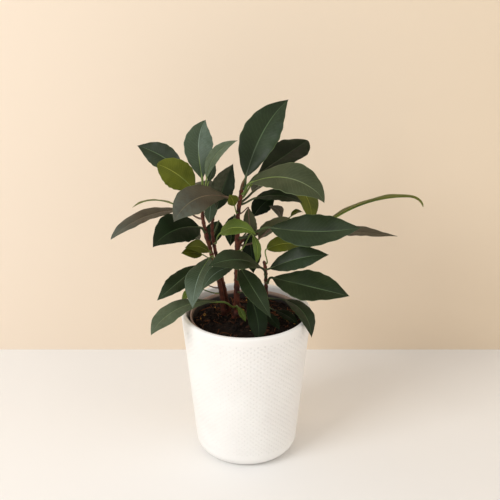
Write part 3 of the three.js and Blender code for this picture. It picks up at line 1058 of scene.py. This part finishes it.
    def stalk_point(self, along: float, turn: float) -> Vector:
        """A point of the stalk, which runs on as a rib under the blade.

        Args:
            along: The share of the whole piece's length, stalk first.
            turn: The share round its section.

        Returns:
            The point, in metres.
        """
        radius = self.stalk_radius
        if along < self.rib_start:
            part = along / self.rib_start
            spot = part * (len(self.route) - 1)
            i = min(int(spot), len(self.route) - 2)
            centre = self.route[i][0].lerp(self.route[i + 1][0], spot - i)
            _, way, up = self.route[i]
            radius *= self.stalk_foot - self.stalk_slimming * min(1.0, part * self.slim_rate)
        else:
            share = (along - self.rib_start) / (1 - self.rib_start) * self.rib_reach
            centre, way, up = self.sample(share)
            radius *= self.rib_share * (1 - share) ** self.rib_power + self.rib_least
            drop = radius * self.rib_drop * min(1.0, share * self.drop_rate)
            centre = centre - up * (drop + self.rib_gap)
        angle = 2 * math.pi * turn
        return (centre + way.cross(up) * radius * math.cos(angle) + up * radius * math.sin(angle)) * MM

    def build(self, palette: Palette) -> bpy.types.Object:
        """Builds the leaf.

        Args:
            palette: The materials.

        Returns:
            The leaf's object.
        """
        mesh = bmesh.new()
        sheen_layer = mesh.verts.layers.float.new("painted_sheen")
        under_layer = mesh.verts.layers.float.new("underside")
        painted_sheen = PAINTED_SHEENS.get(self.growth.name, FAINT_SHEEN)
        values: dict[tuple[int, int, int], tuple[float, float]] = {}

        def place(along: float, turn: float) -> Vector:
            """The skin's point, with its painted sheen and underside values noted down."""
            spot = self.blade_point(along, turn)
            under = 1.0 if math.sin(2 * math.pi * turn) < -LEAST_SINE else 0.0
            values[self.key(spot)] = (painted_sheen.at(self.ease(along), self.across(turn)), under)
            return spot

        def chart(along: float, turn: float) -> tuple[float, float]:
            """The map point: x runs across the blade and y along it."""
            return (self.across(turn) + 1) / 2, self.ease(along)

        wrap_tube(mesh, self.rings, self.sides, place, 0, chart)
        wrap_tube(mesh, self.stalk_rings, self.stalk_sides, self.stalk_point, 1)
        for vert in mesh.verts:
            vert[sheen_layer], vert[under_layer] = values.get(self.key(vert.co), (0.0, 0.0))
        tone = TONES[self.growth.tone]
        finishes = [palette.get(tone.blade), palette.get(tone.stalk)]
        made = to_object(mesh, f"{self.growth.name}_leaf", finishes)
        return place_piece(made, tone.slot, f"leaf_{self.growth.name}")

    @staticmethod
    def key(spot: Vector) -> tuple[int, int, int]:
        """A point rounded to a micrometre, to look its values up by."""
        return round(spot.x * 1e6), round(spot.y * 1e6), round(spot.z * 1e6)


# Each row holds a Growth's values, in order.
LEAVES = {
    "centre": [
        ("crown_tall", 294, (-15, 70, 12), (50, 65, 90), (-15, 35, 0), 39, 0.5, (-3, -10, 4), 14, "deep"),
        ("crown_back", 292, (30, 35, 20), (45, 15, 78), (0, 0, 0), 36, 0.64, (-5, -9, 9), 8, "dark"),
        ("crown_right", 288, (-35, 50, 16), (-30, 30, 90), (0, 75, 20), 36, 0.55, (0, -6, 8), 6, "grey"),
        ("crown_under", 276, (20, 15, 18), (0, 15, 48), (-15, 45, 0), 26, 0.5, (0, -1, 6), 6, "dark"),
        ("right_hanging", 282, (45, 30, 28), (30, 5, 92), (-90, 110, 0), 24, 0.6, (3, -8, 7), 8, "olive"),
        ("left_brown", 282, (-125, 20, 20), (-145, 25, 75), (20, 70, 0), 30, 0.6, (2, -7, 8), 6, "brown"),
        ("back_dark", 246, (55, 15, 30), (40, 50, 32), (-10, 50, 0), 22, 0.5, (-2, -6, 5), 8, "dark"),
        ("hang_brown", 266, (0, 30, 12), (0, -90, 35), (0, -25, 0), 14, 0.5, (2, 9, 1), 12, "brown"),
        ("hang_black", 236, (45, 15, 18), (0, -85, 46), (0, 0, 0), 20, 0.5, (1, -10, 0), 8, "dark"),
        ("young_hanging", 226, (-40, 45, 30), (-20, -60, 30), (-150, 20, 0), 9, 0.4, (-4, -9, 1), 14, "lime"),
        ("small_olive", 268, (-100, 35, 24), (-115, 65, 17), (-15, 20, 0), 12, 0.5, (1, -9, 4), 10, "olive"),
        ("right_big", 240, (-25, 25, 40), (-35, 5, 100), (10, -15, 0), 37, 0.5, (0, -7, 8), 8, "deep"),
        ("right_under", 231, (10, 15, 23), (5, 50, 43), (10, 60, 0), 24, 0.45, (-2, 6, 4), 8, "brown"),
        ("back_b", 250, (100, 20, 20), (105, -65, 40), (30, 20, 0), 18, 0.5, (1, 9, 3), 8, "dark"),
        ("front_left_low", 213, (-95, 15, 38), (-130, 20, 50), (0, 70, 0), 14, 0.5, (2, -9, 6), 8, "blue"),
        ("front_mid", 194, (-80, 40, 35), (-65, -20, 63), (20, 25, 0), 22, 0.42, (3, -9, 5), 6, "deep"),
        ("front_dip", 180, (-65, 15, 31), (-60, -35, 52), (-35, 30, 0), 20, 0.5, (2, -9, 5), 6, "dark"),
        ("rim_left", 163, (-125, 30, 28), (-160, 15, 88), (25, 60, 10), 25, 0.68, (-1, -3, 9), 5, "grey"),
        ("soil_young", 160, (-85, 30, 20), (-45, -40, 17), (0, 20, 0), 7, 0.5, (2, -8, 5), 14, "lime"),
        ("rear_right", 278, (50, 15, 21), (60, 15, 78), (5, 60, 0), 32, 0.5, (-1, 2, 9), 8, "deep"),
        ("rear_low", 212, (85, 25, 30), (45, 5, 98), (-25, 30, 0), 30, 0.5, (-1, 3, 9), 8, "deep"),
    ],
    "left": [
        ("left_upright", 296, (90, 75, 7), (120, 70, 62), (-70, 30, 0), 29, 0.55, (0, -10, 3), 8, "blue"),
        ("left_olive", 290, (152, 8, 10), (-165, 52, 46), (-5, 30, 0), 30, 0.5, (-3, -9, 5), 6, "olive"),
        ("left_back", 286, (130, 30, 34), (135, 20, 66), (15, 15, 0), 26, 0.5, (-3, -9, 6), 8, "deep"),
        ("crown_light", 294, (-50, 60, 14), (-20, 80, 53), (25, 65, 0), 13, 0.5, (-4, -9, 4), 14, "grey"),
        ("narrow_dark", 291, (10, 55, 11), (-50, 65, 23), (50, -10, 0), 8, 0.5, (3, -9, 1), 10, "blue"),
        ("hang_blue", 281, (-45, 20, 14), (-100, -65, 24), (-25, 20, 0), 12, 0.5, (2, -9, 2), 8, "blue"),
        ("left_thin", 270, (125, -10, 48), (140, 5, 67), (10, 45, 0), 11, 0.5, (0, 4, 9), 4, "olive"),
        ("left_long", 262, (180, 25, 23), (-155, 5, 82), (20, 35, 0), 22, 0.5, (-1, -2, 9), 8, "brown"),
        ("left_green", 248, (-107, 32, 19), (-140, 20, 61), (5, 57, 0), 38, 0.45, (-1, -7, 8), 6, "dark"),
        ("low_olive_a", 227, (-90, 15, 20), (-140, 45, 31), (-15, 55, 0), 14, 0.5, (1, -7, 8), 8, "olive"),
        ("low_olive_b", 219, (-120, 25, 20), (-140, 30, 26), (-10, 30, 0), 13, 0.5, (1, -8, 7), 8, "olive"),
        ("left_droop", 210, (-95, 35, 33), (-115, -10, 64), (20, 45, 0), 26, 0.5, (-5, -9, 5), 8, "blue"),
        ("left_low", 198, (-140, 35, 29), (-135, -20, 58), (-5, 5, 0), 21, 0.5, (-3, -8, 7), 8, "deep"),
        ("bright_bit", 176, (-160, 15, 33), (-125, -15, 17), (-20, 30, 0), 9, 0.4, (-2, -6, 5), 8, "lime"),
        ("dry_bit", 182, (-175, 15, 26), (-165, -5, 15), (10, 20, 0), 8, 0.5, (-2, -6, 5), 8, "dry"),
        ("rear_left_low", 226, (125, 10, 22), (120, 0, 64), (20, 45, 0), 28, 0.5, (-1, 3, 9), 8, "deep"),
    ],
    "inner": [
        ("black_upright", 266, (-70, 40, 8), (10, 75, 51), (-25, 10, 0), 24, 0.5, (-2, -9, 1), 18, "dark"),
        ("young_bright", 232, (-70, 40, 30), (-25, 40, 41), (10, 80, 0), 19, 0.38, (0, -6, 8), 10, "lime"),
        ("back_a", 240, (70, 30, 19), (120, -55, 37), (45, 25, 0), 20, 0.5, (0, 9, 3), 8, "dark"),
        ("rear_left", 268, (105, 20, 16), (115, 20, 69), (0, 60, 0), 30, 0.5, (-1, 2, 9), 8, "deep"),
    ],
    "branch": [
        ("right_arching", 244, (25, -20, 46), (35, 25, 138), (-40, 35, 60), 26, 0.6, (0, 4, 9), 12, "olive"),
        ("right_far", 245, (-20, 0, 49), (5, -5, 75), (0, 5, 0), 23, 0.4, (0, -1, 9), 8, "brown"),
        ("curl_brown", 242, (-35, 35, 12), (-60, 75, 30), (-150, 60, 0), 12, 0.5, (2, -5, 4), 14, "brown"),
        ("sliver", 247, (-10, 50, 9), (15, 50, 15), (15, 90, 0), 8, 0.5, (0, -1, 5), 12, "olive"),
    ],
    "right": [
        ("olive_back", 211, (-45, 80, 18), (15, 20, 42), (0, 55, 0), 17, 0.4, (0, -8, 6), 8, "olive"),
        ("right_mid", 206, (-60, 20, 9), (-15, 30, 64), (5, 25, 0), 25, 0.5, (-2, -7, 8), 6, "deep"),
        ("front_left_up", 198, (-98, 35, 38), (-135, 40, 69), (-20, 55, 0), 27, 0.56, (0, -5, 9), 6, "deep"),
        ("right_low", 190, (-70, 35, 22), (-40, 5, 90), (10, 5, 0), 37, 0.52, (0, -6, 9), 6, "deep"),
        ("rim_right", 172, (-40, 10, 24), (-35, 0, 54), (-40, 75, 0), 20, 0.5, (5, -6, 7), 8, "deep"),
        ("pot_dark_a", 158, (-90, 15, 23), (-55, -10, 27), (-5, 15, 0), 10, 0.5, (-2, -4, 9), 8, "dark"),
        ("pot_dark_b", 163, (-55, 0, 17), (-30, -5, 30), (-20, 20, 0), 12, 0.5, (2, -5, 9), 8, "dark"),
    ],
}


# ----------------------------------------------------------------------------------------------- pots


@dataclass
class Cachepot:
    """The ceramic pot: a straight taper, a soft lip, and staggered dimples pressed into its wall."""

    height: float = 0.162
    rim_radius: float = 0.0675
    foot_radius: float = 0.0524
    wall: float = 0.005
    floor: float = 0.007
    foot_round: float = 0.014
    columns: int = 120
    rows: int = 50
    band_low: float = 0.0165
    band_high: float = 0.1525
    dimple_margin: float = 0.00022
    dimple_squeeze: float = 0.42
    dimple_flank: float = 0.00045
    dimple_depth: float = 0.0007
    skin_reach: float = 0.001
    hub: float = 0.02
    lip_start: float = 0.157
    foot_step: int = 9
    lip_step: int = 15
    inner_heights: tuple[float, ...] = (0.152, 0.130, 0.100, 0.060, 0.030, 0.014)
    inner_corner: float = 0.004

    def radius(self, height: float) -> float:
        """The outside radius at a height."""
        return self.foot_radius + (self.rim_radius - self.foot_radius) * height / self.height

    def profile(self) -> list[tuple[float, float]]:
        """The wall's section, from the underside's middle round the lip to the floor's middle.

        Returns:
            The section's (radius, height) pairs.
        """
        lip = self.wall / 2
        points = [(0.0, 0.0), (self.hub, 0.0)]
        for degrees in range(0, 91, self.foot_step):
            angle = math.radians(degrees)
            height = self.foot_round * (1 - math.cos(angle))
            points.append((self.radius(height) - self.foot_round * (1 - math.sin(angle)), height))
        for row in range(self.rows + 1):
            height = self.band_low + (self.band_high - self.band_low) * row / self.rows
            points.append((self.radius(height), height))
        points.append((self.radius(self.lip_start), self.lip_start))
        middle = self.radius(self.height - lip) - lip
        for degrees in range(0, 181, self.lip_step):
            angle = math.radians(degrees)
            points.append((middle + lip * math.cos(angle), self.height - lip + lip * math.sin(angle)))
        for height in self.inner_heights:
            points.append((self.radius(height) - self.wall, height))
        points.append((self.radius(self.floor) - self.wall - self.inner_corner, self.floor))
        points.extend([(self.hub, self.floor), (0.0, self.floor)])
        return points

    def press_dimples(self, mesh: bmesh.types.BMesh) -> None:
        """Presses a narrow upright dimple into every other cell of the patterned band.

        Args:
            mesh: The pot's bmesh.
        """
        pitch = 2 * math.pi / self.columns
        cell = (self.band_high - self.band_low) / self.rows
        chosen = []
        for face in mesh.faces:
            middle = face.calc_center_median()
            out = math.hypot(middle.x, middle.y)
            outside = abs(out - self.radius(middle.z)) <= self.skin_reach
            if not outside or not self.band_low < middle.z < self.band_high:
                continue
            column = int((math.atan2(middle.y, middle.x) + 2 * math.pi) / pitch)
            row = int((middle.z - self.band_low) / cell)
            if (column + row) % 2 == 0:
                chosen.append(face)
        bmesh.ops.inset_individual(mesh, faces=chosen, thickness=self.dimple_margin, use_even_offset=True)
        for face in chosen:
            middle = face.calc_center_median()
            tangent = Vector((-middle.y, middle.x, 0)).normalized()
            for vert in face.verts:
                vert.co -= tangent * (vert.co - middle).dot(tangent) * self.dimple_squeeze
        bmesh.ops.inset_individual(mesh, faces=chosen, thickness=self.dimple_flank,
                                   depth=-self.dimple_depth, use_even_offset=True)

    def build(self, palette: Palette) -> bpy.types.Object:
        """Builds the cachepot.

        Args:
            palette: The materials.

        Returns:
            The cachepot's object.
        """
        mesh = bmesh.new()
        spin_profile(mesh, self.profile(), self.columns)
        self.press_dimples(mesh)
        made = to_object(mesh, "dimpled_cachepot", [palette.get(GLAZE)])
        return place_piece(made, Slot.GLAZE, "cachepot")


@dataclass
class NurseryPot:
    """The thin plastic pot that the plant grew in, with a banded, rolled rim and drain holes."""

    rim_radius: float = 0.0596
    foot_radius: float = 0.042
    foot: float = 0.0073
    rim_height: float = 0.157
    wall: float = 0.0014
    floor: float = 0.002
    band: float = 0.002
    band_depth: float = 0.009
    offset: tuple[float, float, float] = (0.0014, -0.0014, 0.0)
    drain_radius: float = 0.005
    drain_circle: float = 0.024
    drains: int = 4
    drain_sides: int = 24
    steps: int = 144
    floor_rings: tuple[float, float] = (0.012, 0.036)
    foot_bevel: float = 0.001
    step_rise: float = 0.0004
    rim_line: float = 0.004
    bead: float = 0.0009
    bead_angles: tuple[int, ...] = (-20, 10, 40, 70, 100, 130, 160, 200)
    bead_back: float = 2.6
    bead_down: float = 2.4
    ledge: float = 0.0006
    ledge_rise: float = 0.0015

    def radius(self, height: float) -> float:
        """The rim band's outside radius at a height."""
        share = (height - self.foot) / (self.rim_height - self.foot)
        return self.foot_radius + (self.rim_radius - self.foot_radius) * share

    def inner(self, height: float) -> float:
        """The inside radius at a height."""
        return self.radius(height) - self.band - self.wall

    def profile(self) -> list[tuple[float, float]]:
        """The pot's section, from the underside's middle round the rim to the floor's middle.

        Returns:
            The section's (radius, height) pairs.
        """
        step = self.rim_height - self.band_depth
        bead = self.bead
        near, far = self.floor_rings
        points = [(0.0, self.foot), (near, self.foot), (far, self.foot)]
        points.append((self.foot_radius - self.foot_bevel, self.foot))
        points.append((self.foot_radius, self.foot + self.foot_bevel))
        for share in (0.25, 0.5, 0.75):
            height = self.foot + (step - self.foot) * share
            points.append((self.radius(height) - self.band * share, height))
        points.append((self.radius(step) - self.band, step))
        points.append((self.radius(step), step + self.step_rise))
        line = self.rim_height - self.rim_line
        points.append((self.radius(line), line))
        for degrees in self.bead_angles:
            angle = math.radians(degrees)
            points.append((self.rim_radius - bead + bead * math.cos(angle),
                           self.rim_height - bead + bead * math.sin(angle)))
        points.append((self.rim_radius - self.bead_back * bead, self.rim_height - self.bead_down * bead))
        points.append((self.inner(step) + self.ledge, step + self.ledge_rise))
        inside = self.foot + self.floor
        for share in (1.0, 0.75, 0.5, 0.25, 0.0):
            height = inside + (step - self.foot - self.floor) * share
            points.append((self.inner(height), height))
        points.extend([(far, inside), (near, inside), (0.0, inside)])
        return points

    def build(self, palette: Palette) -> bpy.types.Object:
        """Builds the nursery pot.

        Args:
            palette: The materials.

        Returns:
            The pot's object.
        """
        mesh = bmesh.new()
        spin_profile(mesh, self.profile(), self.steps)
        bmesh.ops.translate(mesh, verts=mesh.verts, vec=self.offset)
        made = to_object(mesh, "rolled_rim_pot", [palette.get(PLASTIC)])
        self.drill(made)
        return place_piece(made, Slot.PLASTIC, "nursery_pot")

    def drill(self, made: bpy.types.Object) -> None:
        """Cuts the drain holes and keeps the result as the pot's own mesh.

        Args:
            made: The pot's object.
        """
        mesh = bmesh.new()
        for i in range(self.drains):
            angle = (i + 0.5) * 2 * math.pi / self.drains
            spot = Vector((math.cos(angle), math.sin(angle), 0)) * self.drain_circle + Vector(self.offset)
            spot.z = self.foot + self.floor / 2
            bmesh.ops.create_cone(mesh, cap_ends=True, segments=self.drain_sides, radius1=self.drain_radius,
                                  radius2=self.drain_radius, depth=4 * self.floor,
                                  matrix=Matrix.Translation(spot))
        drills = to_object(mesh, "drills", [])
        cut = made.modifiers.new("drains", "BOOLEAN")
        cut.operation = "DIFFERENCE"
        cut.object = drills
        cut.solver = "EXACT"
        depsgraph = bpy.context.evaluated_depsgraph_get()
        whole = bpy.data.meshes.new_from_object(made.evaluated_get(depsgraph))
        made.modifiers.clear()
        made.data = whole
        bpy.data.objects.remove(drills)


# ----------------------------------------------------------------------------------------------- soil


@dataclass
class SoilBed:
    """The potting mix: an uneven bed with crumbs, bark chips, fibres and pale bits scattered on it."""

    pot: NurseryPot
    edge_height: float = 0.149
    crown_height: float = 0.151
    waves: float = 0.0011
    rings: int = 44
    steps: int = 144
    crumbs: int = 900
    chips: int = 130
    fibres: int = 120
    straws: int = 26
    bare_front: float = -0.008
    front_share: float = 0.26
    gap: float = 0.0003
    hub: float = 0.02
    border: float = 0.0025
    wave_pitch: tuple[float, float] = (0.21, 0.17)
    ripple_pitch: tuple[float, float] = (0.4, 0.33)
    ripple: float = 0.5
    lump: float = 0.0016
    lump_pitch: float = 0.16
    crumb_size: tuple[float, float] = (0.0006, 0.0021)
    crumb_tilt: float = 0.8
    crumb_rough: float = 0.2
    chip_length: tuple[float, float] = (0.003, 0.008)
    chip_width: tuple[float, float] = (0.25, 0.5)
    chip_height: tuple[float, float] = (0.0006, 0.0014)
    chip_tilt: float = 0.5
    chip_rough: float = 0.09
    fibre_length: tuple[float, float] = (0.006, 0.018)
    fibre_radius: tuple[float, float] = (0.00015, 0.0004)
    fibre_lift: tuple[float, float] = (0.0004, 0.0016)
    fibre_curl: float = 1.4
    fibre_rings: int = 7
    fibre_sides: int = 4

    @property
    def edge(self) -> float:
        """The bed's radius at its edge."""
        return self.pot.inner(self.edge_height) - self.gap

    def height(self, x: float, y: float) -> float:
        """The bed's height at a point.

        Args:
            x: Metres to the right of the nursery pot's own axis.
            y: Metres behind it.

        Returns:
            The height, in metres.
        """
        share = min(1.0, math.hypot(x, y) / self.edge)
        rise = (self.crown_height - self.edge_height) * (1 - share * share)
        px, py = x / MM, y / MM
        (broad_x, broad_y), (fine_x, fine_y) = self.wave_pitch, self.ripple_pitch
        wave = math.sin(px * broad_x + 1) * math.cos(py * broad_y)
        wave += self.ripple * math.sin(px * fine_x - py * fine_y)
        lumps = noise.fractal(Vector((px, py, 3.0)) * self.lump_pitch, 1.0, 2.0, 4)
        return self.edge_height + rise + self.waves * wave + self.lump * lumps

    def build(self, palette: Palette) -> list[bpy.types.Object]:
        """Builds the bed and what lies on it.

        Args:
            palette: The materials.

        Returns:
            The bed, crumbs, chips, fibres and straw bits.
        """
        rng = random.Random(SEED)
        bed = self.build_bed(palette)
        crumbs = self.scatter(palette, rng, "soil_crumbs", SOIL, self.crumbs, self.crumb)
        chips = self.scatter(palette, rng, "bark_chips", BARK_CHIP, self.chips, self.chip)
        fibres = self.scatter(palette, rng, "soil_fibres", FIBRE, self.fibres, self.fibre)
        straws = self.scatter(palette, rng, "straw_bits", STRAW, self.straws, self.crumb)
        return [bed, crumbs, chips, fibres, straws]

    def build_bed(self, palette: Palette) -> bpy.types.Object:
        """Builds the bed itself, a closed body down to the pot's floor.

        Args:
            palette: The materials.

        Returns:
            The bed's object.
        """
        bottom = self.pot.foot + self.pot.floor + self.gap
        profile = [(0.0, bottom), (self.hub, bottom), (self.pot.inner(bottom) - self.gap, bottom)]
        middle = (bottom + self.edge_height) / 2
        profile.append((self.pot.inner(middle) - self.gap, middle))
        for ring in range(self.rings, -1, -1):
            profile.append((self.edge * ring / self.rings, self.edge_height))
        mesh = bmesh.new()
        spin_profile(mesh, profile, self.steps)
        for vert in mesh.verts:
            if vert.co.z > self.edge_height - 1e-5:
                vert.co.z = self.height(vert.co.x, vert.co.y)
        bmesh.ops.translate(mesh, verts=mesh.verts, vec=self.pot.offset)
        made = to_object(mesh, "soil_bed", [palette.get(SOIL)])
        return place_piece(made, Slot.SOIL, "potting_soil")

    def scatter(
        self,
        palette: Palette,
        rng: random.Random,
        name: str,
        finish: SurfaceFinish,
        count: int,
        shape: Callable[[bmesh.types.BMesh, random.Random, Vector], None],
    ) -> bpy.types.Object:
        """Scatters small pieces over the bed as one object, fewer of them at the front.

        Args:
            palette: The materials.
            rng: The seeded draw.
            name: The object's name.
            finish: Its finish.
            count: How many pieces at most.
            shape: Adds one piece at a spot.

        Returns:
            The object.
        """
        mesh = bmesh.new()
        for _ in range(count):
            out = (self.edge - self.border) * math.sqrt(rng.random())
            angle = rng.uniform(0, 2 * math.pi)
            x, y = out * math.cos(angle), out * math.sin(angle)
            if y < self.bare_front and rng.random() > self.front_share:
                continue
            spot = Vector((x, y, self.height(x, y))) + Vector(self.pot.offset)
            shape(mesh, rng, spot)
        made = to_object(mesh, name, [palette.get(finish)])
        return place_piece(made, Slot.SOIL)

    @staticmethod
    def turned(rng: random.Random, spot: Vector, sizes: tuple[float, float, float], tilt: float) -> Matrix:
        """Scales a unit shape, turns it at random and puts it at a spot, as one matrix."""
        turn = Euler((rng.uniform(-tilt, tilt), rng.uniform(-tilt, tilt), rng.uniform(0, 2 * math.pi)))
        return Matrix.Translation(spot) @ turn.to_matrix().to_4x4() @ Matrix.Diagonal((*sizes, 1.0))

    def crumb(self, mesh: bmesh.types.BMesh, rng: random.Random, spot: Vector) -> None:
        """Adds a small uneven crumb.

        Args:
            mesh: The bmesh that takes it.
            rng: The seeded draw.
            spot: Where it lies.
        """
        size = rng.uniform(*self.crumb_size)
        sizes = (size * rng.uniform(0.7, 1.3), size, size * rng.uniform(0.5, 0.9))
        made = bmesh.ops.create_icosphere(mesh, subdivisions=1, radius=1.0,
                                          matrix=self.turned(rng, spot, sizes, self.crumb_tilt))
        rough = self.crumb_rough
        for vert in made["verts"]:
            vert.co += Vector([rng.uniform(-rough, rough) * size for _ in range(3)])

    def chip(self, mesh: bmesh.types.BMesh, rng: random.Random, spot: Vector) -> None:
        """Adds a flat bark chip with broken edges.

        Args:
            mesh: The bmesh that takes it.
            rng: The seeded draw.
            spot: Where it lies.
        """
        length = rng.uniform(*self.chip_length)
        sizes = (length, length * rng.uniform(*self.chip_width), rng.uniform(*self.chip_height))
        corners, sides = len(mesh.verts), len(mesh.edges)
        bmesh.ops.create_cube(mesh, size=1.0, matrix=self.turned(rng, spot, sizes, self.chip_tilt))
        bmesh.ops.subdivide_edges(mesh, edges=list(mesh.edges)[sides:], cuts=1, use_grid_fill=True)
        rough = self.chip_rough
        for vert in list(mesh.verts)[corners:]:
            vert.co += Vector([rng.uniform(-rough, rough) * sizes[1] for _ in range(3)])

    def fibre(self, mesh: bmesh.types.BMesh, rng: random.Random, spot: Vector) -> None:
        """Adds a thin curved fibre that lies on the bed.

        Args:
            mesh: The bmesh that takes it.
            rng: The seeded draw.
            spot: Where its middle lies.
        """
        length = rng.uniform(*self.fibre_length)
        radius = rng.uniform(*self.fibre_radius)
        bearing = rng.uniform(0, 2 * math.pi)
        curl = rng.uniform(-self.fibre_curl, self.fibre_curl)
        lift = rng.uniform(*self.fibre_lift)

        def place(along: float, turn: float) -> Vector:
            """The fibre's point at a share along and a share round, in metres."""
            angle = bearing + curl * (along - 0.5)
            way = Vector((math.cos(angle), math.sin(angle), 0))
            centre = spot + way * length * (along - 0.5)
            home = centre - Vector(self.pot.offset)
            centre.z = self.height(home.x, home.y) + lift * math.sin(math.pi * along) + radius
            section = 2 * math.pi * turn
            thin = radius * (1 - 0.5 * abs(2 * along - 1))
            side = Vector((-way.y, way.x, 0))
            return centre + side * thin * math.cos(section) + Vector((0, 0, 1)) * thin * math.sin(section)

        wrap_tube(mesh, self.fibre_rings, self.fibre_sides, place)


# --------------------------------------------------------------------------------------------- studio


@dataclass(frozen=True)
class Lamp:
    """A square area light that looks at the middle of the plant."""

    name: str
    spot: tuple[float, float, float]
    size: float
    power: float
    colour: tuple[float, float, float]
    aim: tuple[float, float, float] = (0, 0, 0.2)

    def build(self) -> None:
        """Adds the light."""
        lamp = bpy.data.lights.new(self.name, "AREA")
        lamp.size = self.size
        lamp.energy = self.power
        lamp.color = self.colour
        made = bpy.data.objects.new(self.name, lamp)
        made.location = self.spot
        made.rotation_euler = (Vector(self.aim) - Vector(self.spot)).to_track_quat("-Z", "Y").to_euler()
        bpy.context.scene.collection.objects.link(made)


WINDOW = Lamp("window", (-1.5, -1.3, 1.5), 1.1, 29.0, (0.98, 0.99, 1.0))
FILL = Lamp("fill", (1.6, -1.2, 1.3), 1.6, 7.0, (1.0, 0.87, 0.76))


@dataclass(frozen=True)
class Sheet:
    """A flat matt sheet whose colour may shift a little from left to right; on the backdrop the shift is
    painted shade, darker away from the window light.
    """

    name: str
    colour: int
    right_shade_colour: int
    place: Matrix
    one_sided: bool = False
    half_size: float = 3.0
    shift_reach: float = 0.35
    rough: float = 0.9
    specular: float = 0.1

    def build(self) -> bpy.types.Object:
        """Builds the sheet.

        Returns:
            The sheet's object.
        """
        mesh = bmesh.new()
        bmesh.ops.create_grid(mesh, x_segments=1, y_segments=1, size=self.half_size, matrix=self.place)
        material = bpy.data.materials.new(self.name)
        material.use_nodes = True
        graph = Graph(material.node_tree)
        shader = material.node_tree.nodes[SHADER]
        axes = graph.add("SeparateXYZ", {0: graph.add("TexCoord").outputs["Object"]})
        shade_share = graph.spread(axes.outputs[0], -self.shift_reach, self.shift_reach, 0.0, 1.0)
        colour = graph.mix(shade_share, paint(self.colour), paint(self.right_shade_colour))
        graph.fill(shader, {"Base Color": colour, "Roughness": self.rough,
                            "Specular IOR Level": self.specular})
        if self.one_sided:
            seen = graph.add("NewGeometry").outputs["Backfacing"]
            clear = graph.add("BsdfTransparent")
            both = graph.add("MixShader", {0: seen, 1: shader.outputs[0], 2: clear.outputs[0]})
            graph.fill(material.node_tree.nodes["Material Output"], {0: both.outputs[0]})
        return to_object(mesh, self.name, [material])


@dataclass
class Studio:
    """The camera, a pale floor, a plain backdrop and soft daylight from the left."""

    eye: tuple[float, float, float] = (0.0039, -0.960, 0.636)
    pitch: float = 66.97
    lens: float = 74.4
    sensor: float = 36.0
    wall_distance: float = 0.21
    sky: tuple[float, float, float, float] = (1.0, 0.98, 0.96, 1.0)
    sky_strength: float = 0.62

    def build(self) -> None:
        """Builds everything that isn't part of the plant."""
        self.build_camera()
        self.build_sheets()
        self.build_lights()

    def build_camera(self) -> None:
        """Adds the camera."""
        lens = bpy.data.cameras.new("camera")
        lens.lens = self.lens
        lens.sensor_width = self.sensor
        camera = bpy.data.objects.new("camera", lens)
        camera.location = self.eye
        camera.rotation_euler = (math.radians(self.pitch), 0, 0)
        bpy.context.scene.collection.objects.link(camera)
        bpy.context.scene.camera = camera

    def build_sheets(self) -> None:
        """Adds the floor, and a backdrop that shows only from the front."""
        floor = Sheet("floor", 0xF1F0EE, 0xF1F0EE, Matrix.Identity(4))
        stand = Matrix.Translation((0, self.wall_distance, 0)) @ Matrix.Rotation(math.pi / 2, 4, "X")
        # The backdrop's darker, warmer right side is painted shade, away from the window light at the left.
        backdrop = Sheet("backdrop", 0xEFDFCC, 0xE7D5BC, stand, one_sided=True)
        floor.build()
        backdrop.build()

    def build_lights(self) -> None:
        """Adds a large window light at the front left, a soft fill, and a pale sky."""
        WINDOW.build()
        FILL.build()
        world = bpy.data.worlds.new("sky")
        world.use_nodes = True
        background = world.node_tree.nodes["Background"]
        background.inputs["Color"].default_value = self.sky
        background.inputs["Strength"].default_value = self.sky_strength
        bpy.context.scene.world = world
        bpy.context.scene.view_settings.view_transform = "Standard"


# ----------------------------------------------------------------------------------------------- main


def main() -> None:
    """Builds the plant, its pots and the studio."""
    logging.basicConfig(level=logging.INFO, format="%(name)s %(message)s")
    palette = Palette()
    Studio().build()
    Cachepot().build(palette)
    pot = NurseryPot()
    pot.build(palette)
    SoilBed(pot).build(palette)
    for stem in STEMS.values():
        stem.build(palette)
    CrownBud(STEMS["centre"]).build(palette)
    for stem_name, rows in LEAVES.items():
        for row in rows:
            Leaf(Growth(*row), STEMS[stem_name]).build(palette)


if __name__ == "__main__":
    main()
